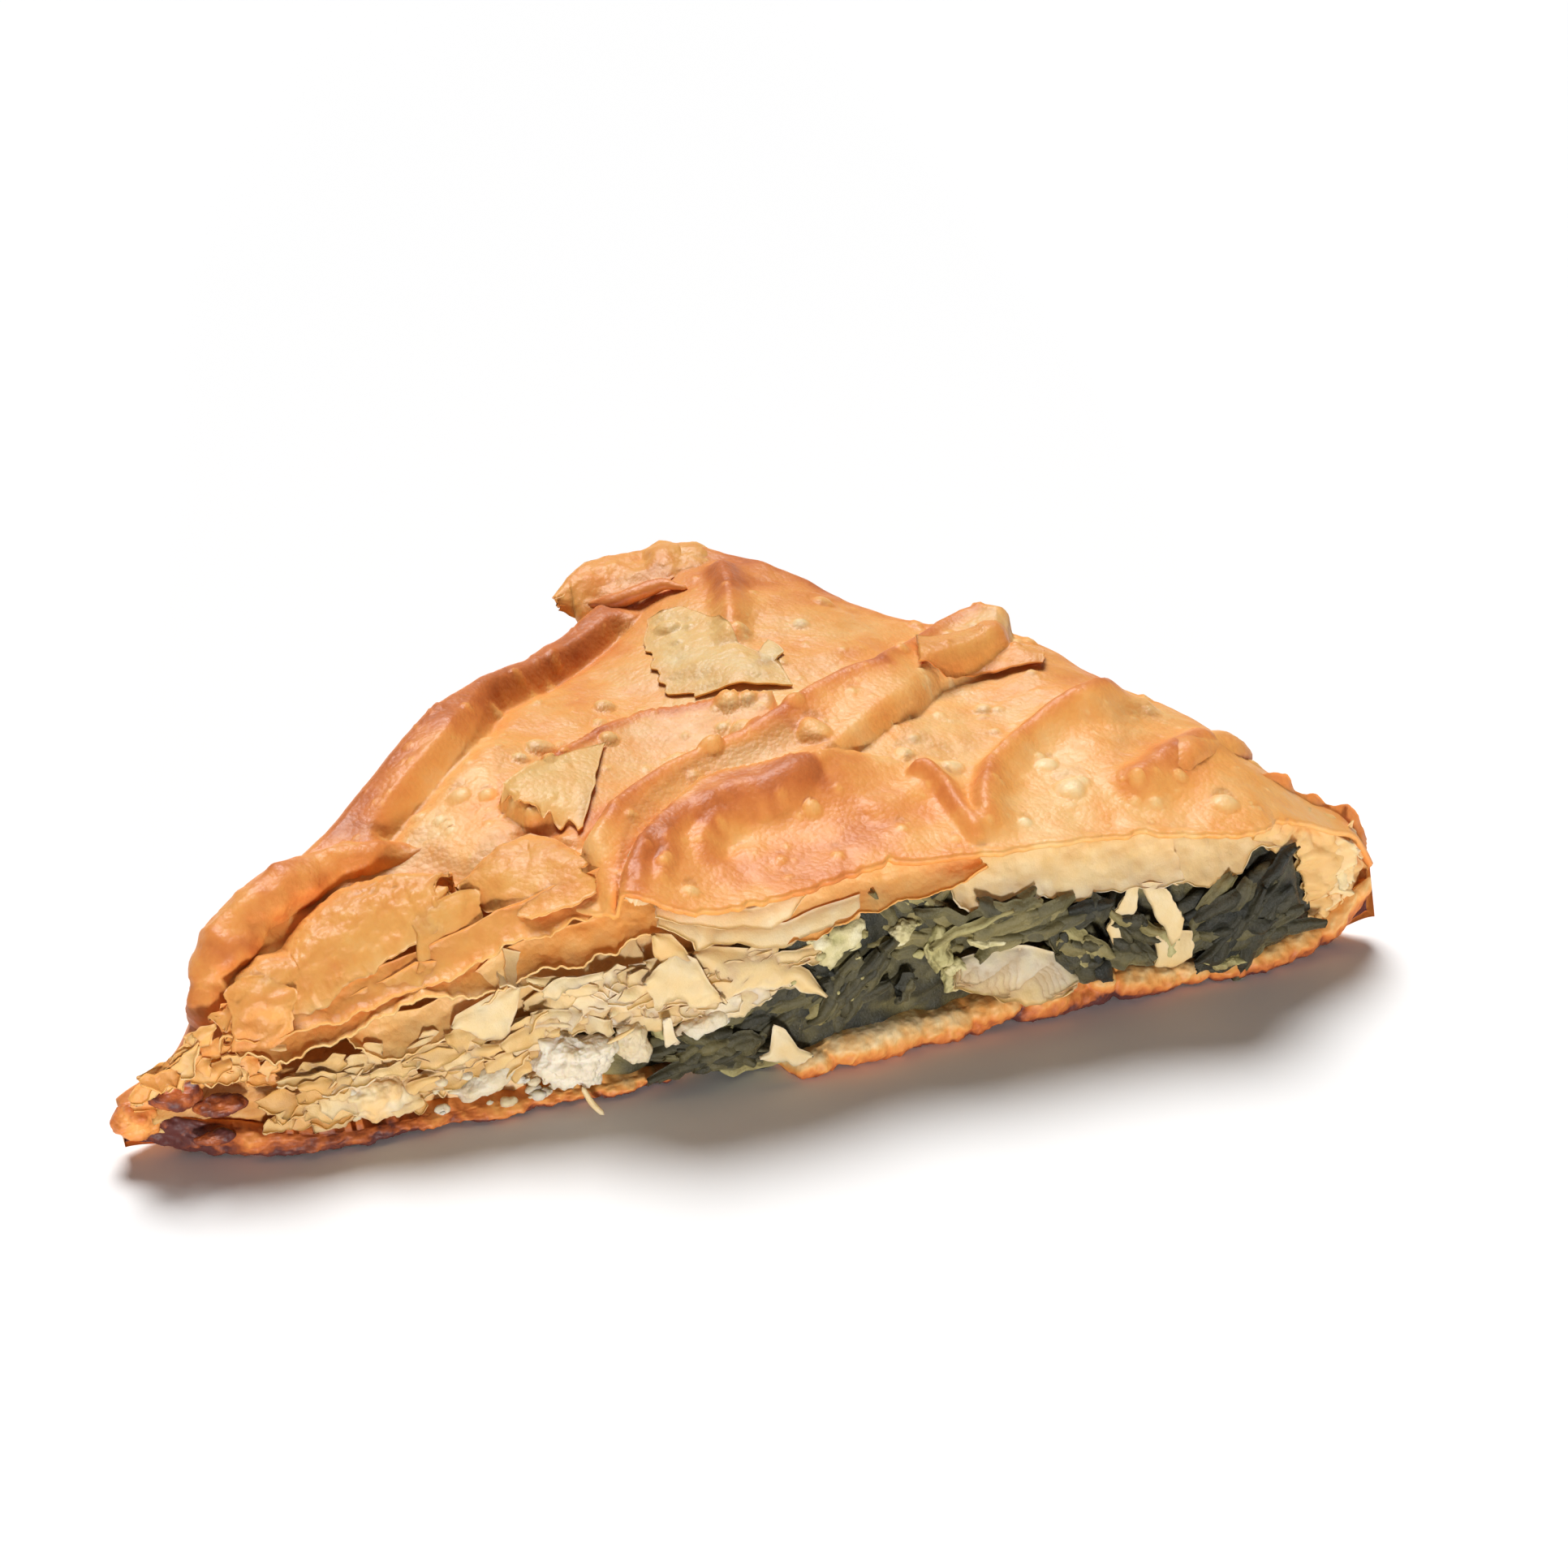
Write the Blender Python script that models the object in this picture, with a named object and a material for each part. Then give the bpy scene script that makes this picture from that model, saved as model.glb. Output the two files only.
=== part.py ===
"""Triangular piece of spanakopita: half of a square filo pie, cut along its diagonal.

Frame in millimetres while modelling: x runs along the cut from the thin end to the thick end,
y from the cut towards the pie's corner, z up from the table. The finished objects are in metres,
with the origin under the middle of the piece.
"""

import math

import bmesh
import bpy
from mathutils import Matrix, Vector, noise

MM = 0.001

# Driving dimensions
CUT_LENGTH = 178.0
BASE_CRUST = 3.6
WALL = 9.0
SHEET = 1.5
FIT_GAP = 0.45
MOUTH_SETBACK = 3.4
CARVE_GROWTH = 0.12
RIM_RADIUS = 3.6
DOME_RISE = 2.4
THIN_END_LIFT = 2.6
THIN_END_REACH = 11.0
THICK_END_LIFT = 4.0
THICK_END_REACH = 9.0
POCKET_START = 51.0
FILLING_START = 66.0
FILLING_END = 167.0
POCKET_END = 171.0
FRAME_MIDDLE = (88.66, 47.5)

# Mesh density
STATIONS = 70
BOTTOM_POINTS = 5
WALL_POINTS = 4
RIM_POINTS = 4
TOP_POINTS = 26
FLAKE_SIDES = 14
FLAKE_RINGS = 3

# Plan outline: how far back from the cut's line each edge lies at a distance along the cut
BACK_EDGE_Y = [
    (0, 10), (8, 13), (16, 19), (32, 33.5), (56, 57), (80, 80), (93, 92), (99, 96), (106, 92),
    (113, 84), (121, 75), (130, 66), (140, 56), (149, 44), (158, 30), (166, 18.5), (173, 13), (178, 10.4),
]
BASE_EDGE_Y = [
    (0, 5), (4, 4.2), (10, 2.4), (19, -0.8), (28, -1.4), (38, -0.2), (51, 0.2), (65, 0), (75, 0.8),
    (91, -2.4), (104, -1.2), (116, 0.4), (128, 1.4), (153, 2.8), (166, 4), (172, 5.6), (178, 7.2),
]
TOP_EDGE_Y = [(0, 5), (8, 4), (16, 3.4), (54, 5), (62, 6), (72, 1.6), (139, 1.6), (158, 3), (170, 5), (178, 8)]
SECOND_EDGE_Y = [(0, 4.8), (8, 3.6), (38, 1.6), (71, 1.6), (104, 2.2), (146, 3), (158, 3.6), (178, 7.6)]
THIRD_EDGE_Y = [(0, 4.8), (8, 3.2), (38, 1), (71, 1.4), (104, 3.4), (146, 4.4), (178, 7.4)]

# Heights along the cut: the outer wall, the three sheet edges above the filling, and the filling's room
WALL_TOP_Z = [
    (0, 4.4), (9, 12), (14, 21), (18, 28), (26, 27.5), (34, 28.5), (42, 28.5), (53, 31), (62, 29.4),
    (71, 27.6), (80, 26.6), (90, 28.5), (99, 32), (108, 32.5), (116, 31.6), (122, 29.4), (130, 29), (140, 31),
    (149, 28), (158, 26.5), (166, 22), (173, 17), (178, 7),
]
TOP_EDGE_Z = [
    (0, 4.6), (8, 8.5), (16, 14.5), (27, 14.5), (46, 22), (62, 27), (112, 28.5), (140, 27.5), (158, 25.5),
    (166, 22), (173, 16.5), (178, 6.6),
]
SECOND_EDGE_Z = [
    (0, 3.6), (8, 6.6), (27, 10), (38, 12), (54, 18.5), (71, 23), (104, 24), (113, 19), (146, 17.5),
    (160, 18.3), (170, 14.5), (178, 5.4),
]
THIRD_EDGE_Z = [
    (0, 2.8), (8, 4.9), (27, 7.2), (46, 10), (54, 14), (71, 18.5), (90, 17.5), (104, 21.5), (114, 16.8),
    (146, 15.4), (160, 16), (170, 12.2), (178, 4.2),
]
LOWER_SHEETS = [(SECOND_EDGE_Z, SECOND_EDGE_Y), (THIRD_EDGE_Z, THIRD_EDGE_Y)]
POCKET_TOP_Z = [
    (0, 2), (8, 3.4), (46, 6), (54, 11), (71, 13), (90, 14.5), (104, 19.5), (116, 15.4), (146, 14), (160, 14),
    (170, 10), (178, 3),
]
POCKET_FLOOR_Z = [
    (0, 1.5), (16, 3), (62, 3.4), (74, 2.2), (86, 2.2), (100, 7.5), (125, 9.5), (143, 4.6), (166, 4.6), (178, 2),
]

# A fold of the top filo: offsets across its line, from its front foot to the steep drop behind it
SHINGLE = [(-11, 0.0), (-8.5, 2.2), (-4, 3.0), (-1.2, 4.6), (0, 4.9), (1.4, 2.2), (2.6, 0.0)]
RIDGE = [(-4.5, 0.0), (-2, 1.9), (0, 2.7), (1.6, 1.5), (3.2, 0.0)]
ROLL = [(-6.0, 0.0), (-3.5, 2.2), (0, 3.6), (2.5, 2.4), (5, 0.0)]

# Each fold: its line on the top as (x, y) points, its cross-section, its height factor
FOLDS = [
    ([(65, 13), (71, 25), (85, 37), (101, 45), (117, 53), (130, 58), (138, 57)], SHINGLE, 1.0),
    ([(66, 1), (73, 13), (83, 23), (91, 30), (104, 34), (116, 42)], ROLL, 0.9),
    ([(60, 35), (72, 45), (82, 50), (104, 51)], SHINGLE, 0.55),
    ([(124, 47), (134, 51), (143, 45)], ROLL, 0.9),
    ([(113, 2), (120, 10), (126, 21), (138, 32), (150, 37)], RIDGE, 1.0),
    ([(115, 4), (116, 15), (114, 23), (104, 23)], RIDGE, 0.8),
    ([(138, 13), (148, 17), (159, 21)], ROLL, 0.9),
    ([(22, 20), (34, 32), (54, 51), (72, 68), (90, 82)], ROLL, 0.7),
    ([(24, 14), (36, 25), (50, 30)], ROLL, 0.8),
    ([(104, 62), (103, 72), (106, 86)], RIDGE, 1.0),
    ([(88, 82), (98, 79), (108, 80)], RIDGE, 0.9),
]

# Flakes, flaps and crags that stand out of the pastry:
# centre, length, width, heading, pitch, roll, bow, thickness
FLAKES = [
    ((94, 87, 29.3), 26, 17, 20, 0, 6, 1.4, 1.6),
    ((135, 51, 31.5), 18, 9, -14, 0, -8, 1.5, 2.0),
    ((137, 56.5, 33.0), 9, 8, -30, 0, 0, 1.6, 4.0),
    ((157, 19, 28.8), 10, 8, 20, 0, 0, 2.0, 4.0),
    ((171, 12, 18.6), 11, 8, -48, -6, 20, 1.0, 1.5),
    ((56, 15, 24.5), 22, 15, 12, 4, 10, 2.0, 1.6),
    ((34, 13, 21.0), 26, 17, 28, 10, 28, 3.0, 1.8),
    ((77, 4.5, 16.5), 24, 12, 4, -6, 48, 1.5, 1.4),
    ((100, 4.0, 24.0), 26, 9, 3, 3, 30, 0.5, 1.3),
    ((128, 5.5, 19.5), 32, 11, 0, -2, 40, 1.0, 1.4),
    ((157, 6.5, 18.5), 20, 11, 2, 8, 40, 1.0, 1.4),
    ((40, 4.0, 11.5), 24, 9, 3, 8, 40, 0.8, 1.4),
    ((24, 4.5, 9.5), 16, 9, -4, 4, 34, 0.8, 1.4),
    ((9, 6.5, 9.0), 13, 8, 28, 20, 10, 0.8, 1.4),
    ((3.0, 6.5, 6.6), 7, 6, 20, 0, 0, 1.6, 4.4),
]

# Curds of feta that show at the cut: name, centre, size
CURDS = [
    ("feta_large", (59.5, 6.6, 7.2), (9.6, 8.0, 5.2)),
    ("feta_middle", (99.5, 4.4, 15.6), (9.0, 6.5, 4.8)),
]


def curve(knots, x):
    """Value at x on a smooth line through the knots, level beyond their ends."""
    if x <= knots[0][0]:
        return float(knots[0][1])
    if x >= knots[-1][0]:
        return float(knots[-1][1])
    i = next(k for k, knot in enumerate(knots) if knot[0] > x) - 1
    (x0, v0), (x1, v1) = knots[i], knots[i + 1]
    before = knots[max(0, i - 1)]
    after = knots[min(len(knots) - 1, i + 2)]
    width = x1 - x0
    start_slope = (v1 - before[1]) / (x1 - before[0]) * width
    end_slope = (after[1] - v0) / (after[0] - x0) * width
    t = (x - x0) / width
    value = (2 * t**3 - 3 * t**2 + 1) * v0 + (3 * t**2 - 2 * t**3) * v1
    return value + (t**3 - 2 * t**2 + t) * start_slope + (t**3 - t**2) * end_slope


def ease(edge0, edge1, value):
    """0 before edge0, 1 after edge1, smooth between."""
    t = min(1.0, max(0.0, (value - edge0) / (edge1 - edge0)))
    return t * t * (3 - 2 * t)


def rough(x, y, z, size):
    """Smooth noise from -1 to 1 with features of about this size."""
    return noise.noise(Vector((x, y, z)) / size)


def fold_height(x, y):
    """Height that the folds add to the top at this point."""
    tallest = 0.0
    here = Vector((x, y))
    for line, shape, factor in FOLDS:
        points = [Vector(p) for p in line]
        travelled = 0.0
        length = sum((b - a).length for a, b in zip(points, points[1:]))
        nearest = None
        for a, b in zip(points, points[1:]):
            along = b - a
            t = min(1.0, max(0.0, (here - a).dot(along) / along.length_squared))
            gap = here - (a + along * t)
            side = 1.0 if along.x * gap.y - along.y * gap.x > 0 else -1.0
            if nearest is None or gap.length < abs(nearest[0]):
                nearest = (side * gap.length, (travelled + t * along.length) / length)
            travelled += along.length
        offset, share = nearest
        fade = 0.25 + 0.75 * ease(0.0, 0.12, share) * ease(0.0, 0.12, 1.0 - share)
        if shape[0][0] < offset < shape[-1][0]:
            tallest = max(tallest, curve(shape, offset) * factor * fade)
    return tallest


def back_edge(x):
    """Distance of the closed outer edge behind the cut, slightly uneven."""
    return curve(BACK_EDGE_Y, x) + 0.6 * rough(x, 0, 40, 7)


def top_height(x, y):
    """Height of the top filo at this point, folds included."""
    front = curve(TOP_EDGE_Y, x)
    back = back_edge(x)
    share = min(1.0, max(0.0, (y - front) / max(1.0, back - front)))
    level = curve(TOP_EDGE_Z, x) * (1 - share) + curve(WALL_TOP_Z, x) * share
    room = ease(4.0, 30.0, back - front)
    dome = DOME_RISE * math.sin(math.pi * share)
    return level + room * (dome + fold_height(x, y) + 0.6 * rough(x, y, 3, 9))


def bottom_and_wall(x, base_y, back, wall_top, radius):
    """Outline points along the base from the cut to the back, then up the outer wall to its rim."""
    outline = []
    lip = 0.8
    tuck = 0.5 * radius
    depth = back - base_y
    for i in range(BOTTOM_POINTS):
        share = i / BOTTOM_POINTS
        outline.append((base_y + lip + (depth - tuck - lip) * share, 0.0))
    for i in range(WALL_POINTS):
        share = i / WALL_POINTS
        crease = 0.6 * rough(x, 60, share * 6, 3) * min(1.0, depth / 20) * math.sin(math.pi * share)
        outline.append((back - tuck * (1 - share) + crease, share * (wall_top - radius)))
    for i in range(RIM_POINTS):
        turn = math.radians(90) * i / RIM_POINTS
        outline.append((back - radius * (1 - math.cos(turn)), wall_top - radius * (1 - math.sin(turn))))
    return outline


def section(x):
    """Closed outline of the pastry across the cut at x, as (y, z) points.

    It runs along the bottom, up the outer wall, over the top and down the layered front into the
    filling's room.
    """
    base_y = curve(BASE_EDGE_Y, x) + 0.6 * rough(x, 0, 0, 4)
    back = back_edge(x)
    wall_top = curve(WALL_TOP_Z, x)
    depth = back - base_y
    radius = min(RIM_RADIUS, 0.4 * wall_top, 0.3 * depth)
    outline = bottom_and_wall(x, base_y, back, wall_top, radius)

    edge_y = curve(TOP_EDGE_Y, x) + 0.9 * rough(x, 9, 0, 5) * ease(0, 12, x)
    brow = back - radius
    for i in range(TOP_POINTS + 1):
        y = brow + (edge_y - brow) * i / TOP_POINTS
        outline.append((y, top_height(x, y)))

    leaf = min(SHEET, 0.12 * curve(TOP_EDGE_Z, x))
    undercut = 1.1 * min(1.0, depth / 40)
    ceiling = outline[-1][1] - leaf
    outline.append((edge_y + 0.3, ceiling))
    for step, (edge_z, edge_depth) in enumerate(LOWER_SHEETS):
        z = curve(edge_z, x)
        y = curve(edge_depth, x) + 0.8 * rough(x, 30 + 20 * step, 0, 4) * ease(0, 12, x)
        drop = ceiling - z
        outline.append((max(edge_y, y) + 0.6 + undercut * drop, ceiling - 0.3 * drop))
        outline.append((y, z))
        outline.append((y + 0.2, z - leaf))
        edge_y, ceiling = y, z - leaf

    outline.extend(pocket(x, 0.0))
    outline.append((base_y, 0.62 * min(BASE_CRUST, curve(POCKET_FLOOR_Z, x))))
    lift = THIN_END_LIFT * (1 - ease(0, THIN_END_REACH, x))
    lift += THICK_END_LIFT * (1 - ease(0, THICK_END_REACH, CUT_LENGTH - x))
    return [(y, z + lift) for y, z in outline]


def pocket(x, gap):
    """The filling's room at x as four (y, z) corners: mouth top, back top, back floor, mouth floor."""
    crust_edge = max(0.0, curve(BASE_EDGE_Y, x))
    mouth = crust_edge + min(MOUTH_SETBACK, 0.3 * (back_edge(x) - crust_edge)) + 0.4 * rough(x, 70, 0, 5)
    top = curve(POCKET_TOP_Z, x) - gap
    floor = curve(POCKET_FLOOR_Z, x) + gap
    reach = ease(POCKET_START - 2, POCKET_START, x) * ease(0, 2, POCKET_END - x)
    full = back_edge(x) - WALL - mouth
    if x < FILLING_START:
        full = min(full, 12.0)
    deep = mouth + max(0.7, full * reach) - gap
    lift = min(4.0, 0.1 * (deep - mouth))
    settle = min(BASE_CRUST + gap, floor) - floor
    deep_floor = floor + settle * ease(6, 30, deep - mouth)
    return [(mouth, top), (deep, top + lift), (deep, deep_floor), (mouth, floor)]


def filling_section(x, gap):
    """Closed outline of the spinach filling at x, this gap inside its room, with a lumpy front."""
    (mouth, top), (deep, deep_top), (_, deep_floor), (_, floor) = pocket(x, gap)
    outline = []
    lumps = 6
    for i in range(lumps):
        share = i / (lumps - 1)
        level = floor + (top - floor) * share
        bulge = (1.6 * rough(x, 90, share * 9, 4.5) - 1.0) * math.sin(math.pi * share)
        outline.append((mouth - 1.0 + gap + bulge, level))
    for share in (0.33, 0.66, 1.0):
        outline.append((mouth + (deep - mouth) * share, top + (deep_top - top) * share))
    for share in (0.0, 0.33, 0.66):
        outline.append((deep + (mouth - deep) * share, deep_floor + (floor - deep_floor) * share))
    return outline[::-1]


def to_world(x, y, z):
    return Vector(((x - FRAME_MIDDLE[0]) * MM, (y - FRAME_MIDDLE[1]) * MM, z * MM))


def material(name, colour, roughness):
    made = bpy.data.materials.new(name)
    made.use_nodes = True
    shader = made.node_tree.nodes["Principled BSDF"]
    shader.inputs["Base Color"].default_value = (*colour, 1.0)
    shader.inputs["Roughness"].default_value = roughness
    return made


def new_object(name, mesh, finish):
    mesh.materials.append(finish)
    made = bpy.data.objects.new(name, mesh)
    bpy.context.scene.collection.objects.link(made)
    mesh.shade_smooth()
    mesh.set_sharp_from_angle(angle=math.radians(40))
    return made


def mesh_from(name, build):
    """A mesh from a function that fills a bmesh, with its faces turned outwards."""
    mesh = bpy.data.meshes.new(name)
    made = bmesh.new()
    build(made)
    bmesh.ops.triangulate(made, faces=made.faces)
    bmesh.ops.recalc_face_normals(made, faces=made.faces)
    if made.calc_volume(signed=True) < 0:
        bmesh.ops.reverse_faces(made, faces=made.faces)
    made.to_mesh(mesh)
    made.free()
    return mesh


def stations(first, last):
    """Distances along the cut, between these two, at which sections are taken."""
    spots = [CUT_LENGTH * i / STATIONS for i in range(STATIONS + 1)]
    return [x for x in spots if first <= x <= last]


def loft(sections):
    """Fills a bmesh with a closed skin over (x, outline) sections that have the same number of points."""

    def build(made):
        rings = [[made.verts.new(to_world(x, y, z)) for y, z in outline] for x, outline in sections]
        for ring, following in zip(rings, rings[1:]):
            for i in range(len(ring)):
                j = (i + 1) % len(ring)
                made.faces.new((ring[i], ring[j], following[j], following[i]))
        made.faces.new(rings[0])
        made.faces.new(rings[-1])

    return build


def flake(centre, length, width, heading, pitch, roll, bow, thick, seed):
    """Fills a bmesh with a curved leaf of filo with a torn outline.

    heading turns it about z, pitch lifts its far end and roll its left side, in degrees; bow is how
    far its middle rises.
    """
    pose = (
        Matrix.Rotation(math.radians(heading), 3, "Z")
        @ Matrix.Rotation(math.radians(-pitch), 3, "Y")
        @ Matrix.Rotation(math.radians(roll), 3, "X")
    )

    def place(u, v, drop):
        flat = Vector((u * length / 2, v * width / 2, bow * (1 - u * u - 0.4 * v * v) - drop))
        return to_world(*(Vector(centre) + pose @ flat))

    def torn_reach(angle):
        torn = 1 + 0.22 * rough(math.cos(angle) * 3, math.sin(angle) * 3, seed * 7.3, 1.3)
        square = 1 / max(abs(math.cos(angle)), abs(math.sin(angle))) ** 0.6
        return torn * square

    def build(made):
        rims = []
        angles = [2 * math.pi * i / FLAKE_SIDES for i in range(FLAKE_SIDES)]
        for drop in (0.0, thick):
            middle = made.verts.new(place(0, 0, drop))
            loops = []
            for ring in range(1, FLAKE_RINGS + 1):
                reaches = [ring / FLAKE_RINGS * torn_reach(angle) for angle in angles]
                spots = [(r * math.cos(a), r * math.sin(a)) for r, a in zip(reaches, angles)]
                loops.append([made.verts.new(place(u, v, drop)) for u, v in spots])
            for i in range(FLAKE_SIDES):
                j = (i + 1) % FLAKE_SIDES
                made.faces.new((middle, loops[0][i], loops[0][j]))
                for inner, outer in zip(loops, loops[1:]):
                    made.faces.new((inner[i], outer[i], outer[j], inner[j]))
            rims.append(loops[-1])
        upper, lower = rims
        for i in range(FLAKE_SIDES):
            j = (i + 1) % FLAKE_SIDES
            made.faces.new((upper[i], lower[i], lower[j], upper[j]))

    return build


def lump(centre, size, seed):
    """Fills a bmesh with a crumbly lump of cheese."""

    def build(made):
        bmesh.ops.create_icosphere(made, subdivisions=2, radius=1.0)
        for vertex in made.verts:
            out = vertex.co.copy()
            crumb = 1 + 0.2 * rough(*(out * 2.0 + Vector((seed * 5.1, 0, 0))), 1.0)
            vertex.co = to_world(*(centre[k] + out[k] * crumb * size[k] / 2 for k in range(3)))

    return build


def seat(centre, size):
    """Fills a bmesh with the smooth hollow that a lump of this size sits in, clear of it all round."""
    room = 1.16

    def build(made):
        bmesh.ops.create_icosphere(made, subdivisions=2, radius=1.0)
        for vertex in made.verts:
            out = vertex.co.copy()
            vertex.co = to_world(*(centre[k] + out[k] * (room * size[k] / 2 + FIT_GAP) for k in range(3)))

    return build


def apply_modifiers(target):
    """Replaces the object's mesh by its evaluated one and clears its modifiers."""
    bpy.context.view_layer.update()
    graph = bpy.context.evaluated_depsgraph_get()
    evaluated = bpy.data.meshes.new_from_object(target.evaluated_get(graph))
    target.modifiers.clear()
    target.data = evaluated


def keep_main_shell(mesh):
    """Drops every shell but the largest: loose scraps, and the inner skins of hollows that joining sealed."""
    made = bmesh.new()
    made.from_mesh(mesh)
    unseen = set(made.verts)
    shells = []
    while unseen:
        shell = [unseen.pop()]
        for vertex in shell:
            for edge in vertex.link_edges:
                other = edge.other_vert(vertex)
                if other in unseen:
                    unseen.remove(other)
                    shell.append(other)
        shells.append(shell)
    largest = max(shells, key=len)
    for shell in shells:
        if shell is not largest:
            bmesh.ops.delete(made, geom=shell, context="VERTS")
    made.to_mesh(mesh)
    made.free()


def carve(target, cutter_mesh):
    """Takes this mesh's volume out of the target."""
    cutter = bpy.data.objects.new("cutter", cutter_mesh)
    cutter.hide_render = True
    cutter.display_type = "WIRE"
    bpy.context.scene.collection.objects.link(cutter)
    cut = target.modifiers.new("carve", "BOOLEAN")
    cut.operation = "DIFFERENCE"
    cut.object = cutter
    cut.solver = "MANIFOLD"
    apply_modifiers(target)
    keep_main_shell(target.data)
    bpy.data.objects.remove(cutter)


def make_pastry(finish):
    """The pastry: base crust, closed walls and layered, folded top in one body, open at the cut."""
    sections = [(x, section(x)) for x in stations(0.0, CUT_LENGTH)]
    pastry = new_object("pastry", mesh_from("pastry", loft(sections)), finish)
    flakes = bpy.data.collections.new("flakes")
    bpy.context.scene.collection.children.link(flakes)
    for seed, values in enumerate(FLAKES):
        leaf = bpy.data.objects.new(f"flake_{seed}", mesh_from("flake", flake(*values, seed)))
        flakes.objects.link(leaf)
    union = pastry.modifiers.new("join_flakes", "BOOLEAN")
    union.operation = "UNION"
    union.operand_type = "COLLECTION"
    union.collection = flakes
    union.solver = "MANIFOLD"
    apply_modifiers(pastry)
    keep_main_shell(pastry.data)
    for leaf in list(flakes.objects):
        bpy.data.objects.remove(leaf)
    bpy.data.collections.remove(flakes)
    return pastry


def filling_mesh(gap, first, last):
    """The filling between two distances along the cut, this gap inside its room."""
    sections = [(x, filling_section(x, gap)) for x in stations(first, last)]
    return mesh_from("filling", loft(sections))


def main():
    for old in list(bpy.data.objects):
        bpy.data.objects.remove(old)
    golden = material("golden_filo", (0.80, 0.50, 0.20), 0.5)
    green = material("cooked_spinach", (0.05, 0.055, 0.03), 0.45)
    white = material("feta", (0.86, 0.82, 0.66), 0.6)
    spare = 1.01 * CUT_LENGTH / STATIONS
    pastry = make_pastry(golden)
    carve(pastry, filling_mesh(-CARVE_GROWTH, FILLING_START - spare, FILLING_END + spare))
    filling = new_object("spinach_filling", filling_mesh(FIT_GAP, FILLING_START, FILLING_END), green)
    for seed, (name, centre, size) in enumerate(CURDS):
        carve(pastry, mesh_from("seat", seat(centre, size)))
        carve(filling, mesh_from("seat", seat(centre, size)))
        new_object(name, mesh_from(name, lump(centre, size, seed)), white)


main()
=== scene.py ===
"""Looks of the triangular spanakopita piece: blistered filo, torn layers, spinach and feta at the cut.

Lengths are in millimetres in the design frame of the CAD source: x along the cut, y behind it, z up.
world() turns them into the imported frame's metres.
"""

import math

import bpy
import numpy as np
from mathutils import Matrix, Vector

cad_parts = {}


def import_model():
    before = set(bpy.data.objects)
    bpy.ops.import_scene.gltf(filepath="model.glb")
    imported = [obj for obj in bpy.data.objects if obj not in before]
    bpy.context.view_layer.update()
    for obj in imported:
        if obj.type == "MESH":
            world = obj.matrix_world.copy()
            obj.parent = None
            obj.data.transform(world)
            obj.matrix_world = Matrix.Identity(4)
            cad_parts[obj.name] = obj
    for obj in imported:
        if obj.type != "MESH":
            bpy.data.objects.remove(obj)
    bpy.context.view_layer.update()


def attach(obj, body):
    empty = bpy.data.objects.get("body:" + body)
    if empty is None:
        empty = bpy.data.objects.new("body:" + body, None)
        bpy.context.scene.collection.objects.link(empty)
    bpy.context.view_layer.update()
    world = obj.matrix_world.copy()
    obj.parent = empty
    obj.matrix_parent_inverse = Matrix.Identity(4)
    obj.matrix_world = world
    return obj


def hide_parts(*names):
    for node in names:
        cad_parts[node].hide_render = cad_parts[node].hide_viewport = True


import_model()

MM = 0.001
MIDDLE = np.array([88.66, 47.5, 0.0])
CUT_LENGTH = 178.0

# Plan outline and heights, as in the CAD source
BACK_EDGE_Y = [
    (0, 10), (8, 13), (16, 19), (32, 33.5), (56, 57), (80, 80), (93, 92), (99, 96), (106, 92),
    (113, 84), (121, 75), (130, 66), (140, 56), (149, 44), (158, 30), (166, 18.5), (173, 13), (178, 10.4),
]
BASE_EDGE_Y = [
    (0, 5), (4, 4.2), (10, 2.4), (19, -0.8), (28, -1.4), (38, -0.2), (51, 0.2), (65, 0), (75, 0.8),
    (91, -2.4), (104, -1.2), (116, 0.4), (128, 1.4), (153, 2.8), (166, 4), (172, 5.6), (178, 7.2),
]
TOP_EDGE_Y = [
    (0, 6), (8, 5), (16, 5), (30, 8), (46, 12), (58, 8), (66, 2.6), (73, -1), (80.5, -1.5), (91.5, -0.5),
    (104, 2.5), (116.5, 2.5), (138.5, 2.5), (149.5, 0), (156.5, 0.5), (160, 3), (170, 6), (178, 8.4),
]
TOP_EDGE_Z = [
    (0, 4.6), (8, 8.5), (16, 14.5), (27, 14.5), (46, 22), (62, 27), (112, 28.5), (140, 27.5), (158, 25.5),
    (166, 22), (173, 16.5), (178, 6.6),
]
WALL_TOP_Z = [
    (0, 4.4), (9, 12), (14, 21), (18, 28), (26, 27.5), (34, 28.5), (42, 28.5), (53, 31), (62, 29.4),
    (71, 27.6), (80, 26.6), (90, 28.5), (99, 32), (108, 32.5), (116, 31.6), (122, 29.4), (130, 29),
    (140, 31), (149, 28), (158, 26.5), (166, 22), (173, 17), (178, 7),
]
RIM_RADIUS = 3.2
DOME_RISE = 2.4
THIN_END_LIFT = 2.6
THIN_END_REACH = 11.0
THICK_END_LIFT = 4.0
THICK_END_REACH = 9.0
END_GAP = 0.4
SKIN = 0.3

# Lines of the top's folds, as (x, y)
RIM_INNER = [
    (42, 30.5), (46.5, 34.5), (51, 38.5), (56, 43.5), (60.5, 50), (64.5, 57), (69, 61), (74.5, 66),
    (87, 76),
]
SHINGLE_CREST = [
    (64.5, 14), (69.5, 21), (73.5, 24.5), (79.5, 29), (85.5, 31.5), (92, 33), (98, 36), (103.5, 39.5),
    (109.5, 42.5), (114.5, 44), (122, 50.5), (128, 56), (132.5, 58), (136.5, 58), (139.5, 54),
]
FRONT_CREST = [
    (65, -1), (68.5, 7), (71.5, 11.5), (75.5, 16), (79.5, 19.5), (83, 22.5), (87, 23.5), (93, 23),
    (99.5, 22.5),
]
DARK_ROLL = [(80, 13.5), (83.5, 17), (87, 18.5), (91, 18), (94.5, 19), (100, 21)]
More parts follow.
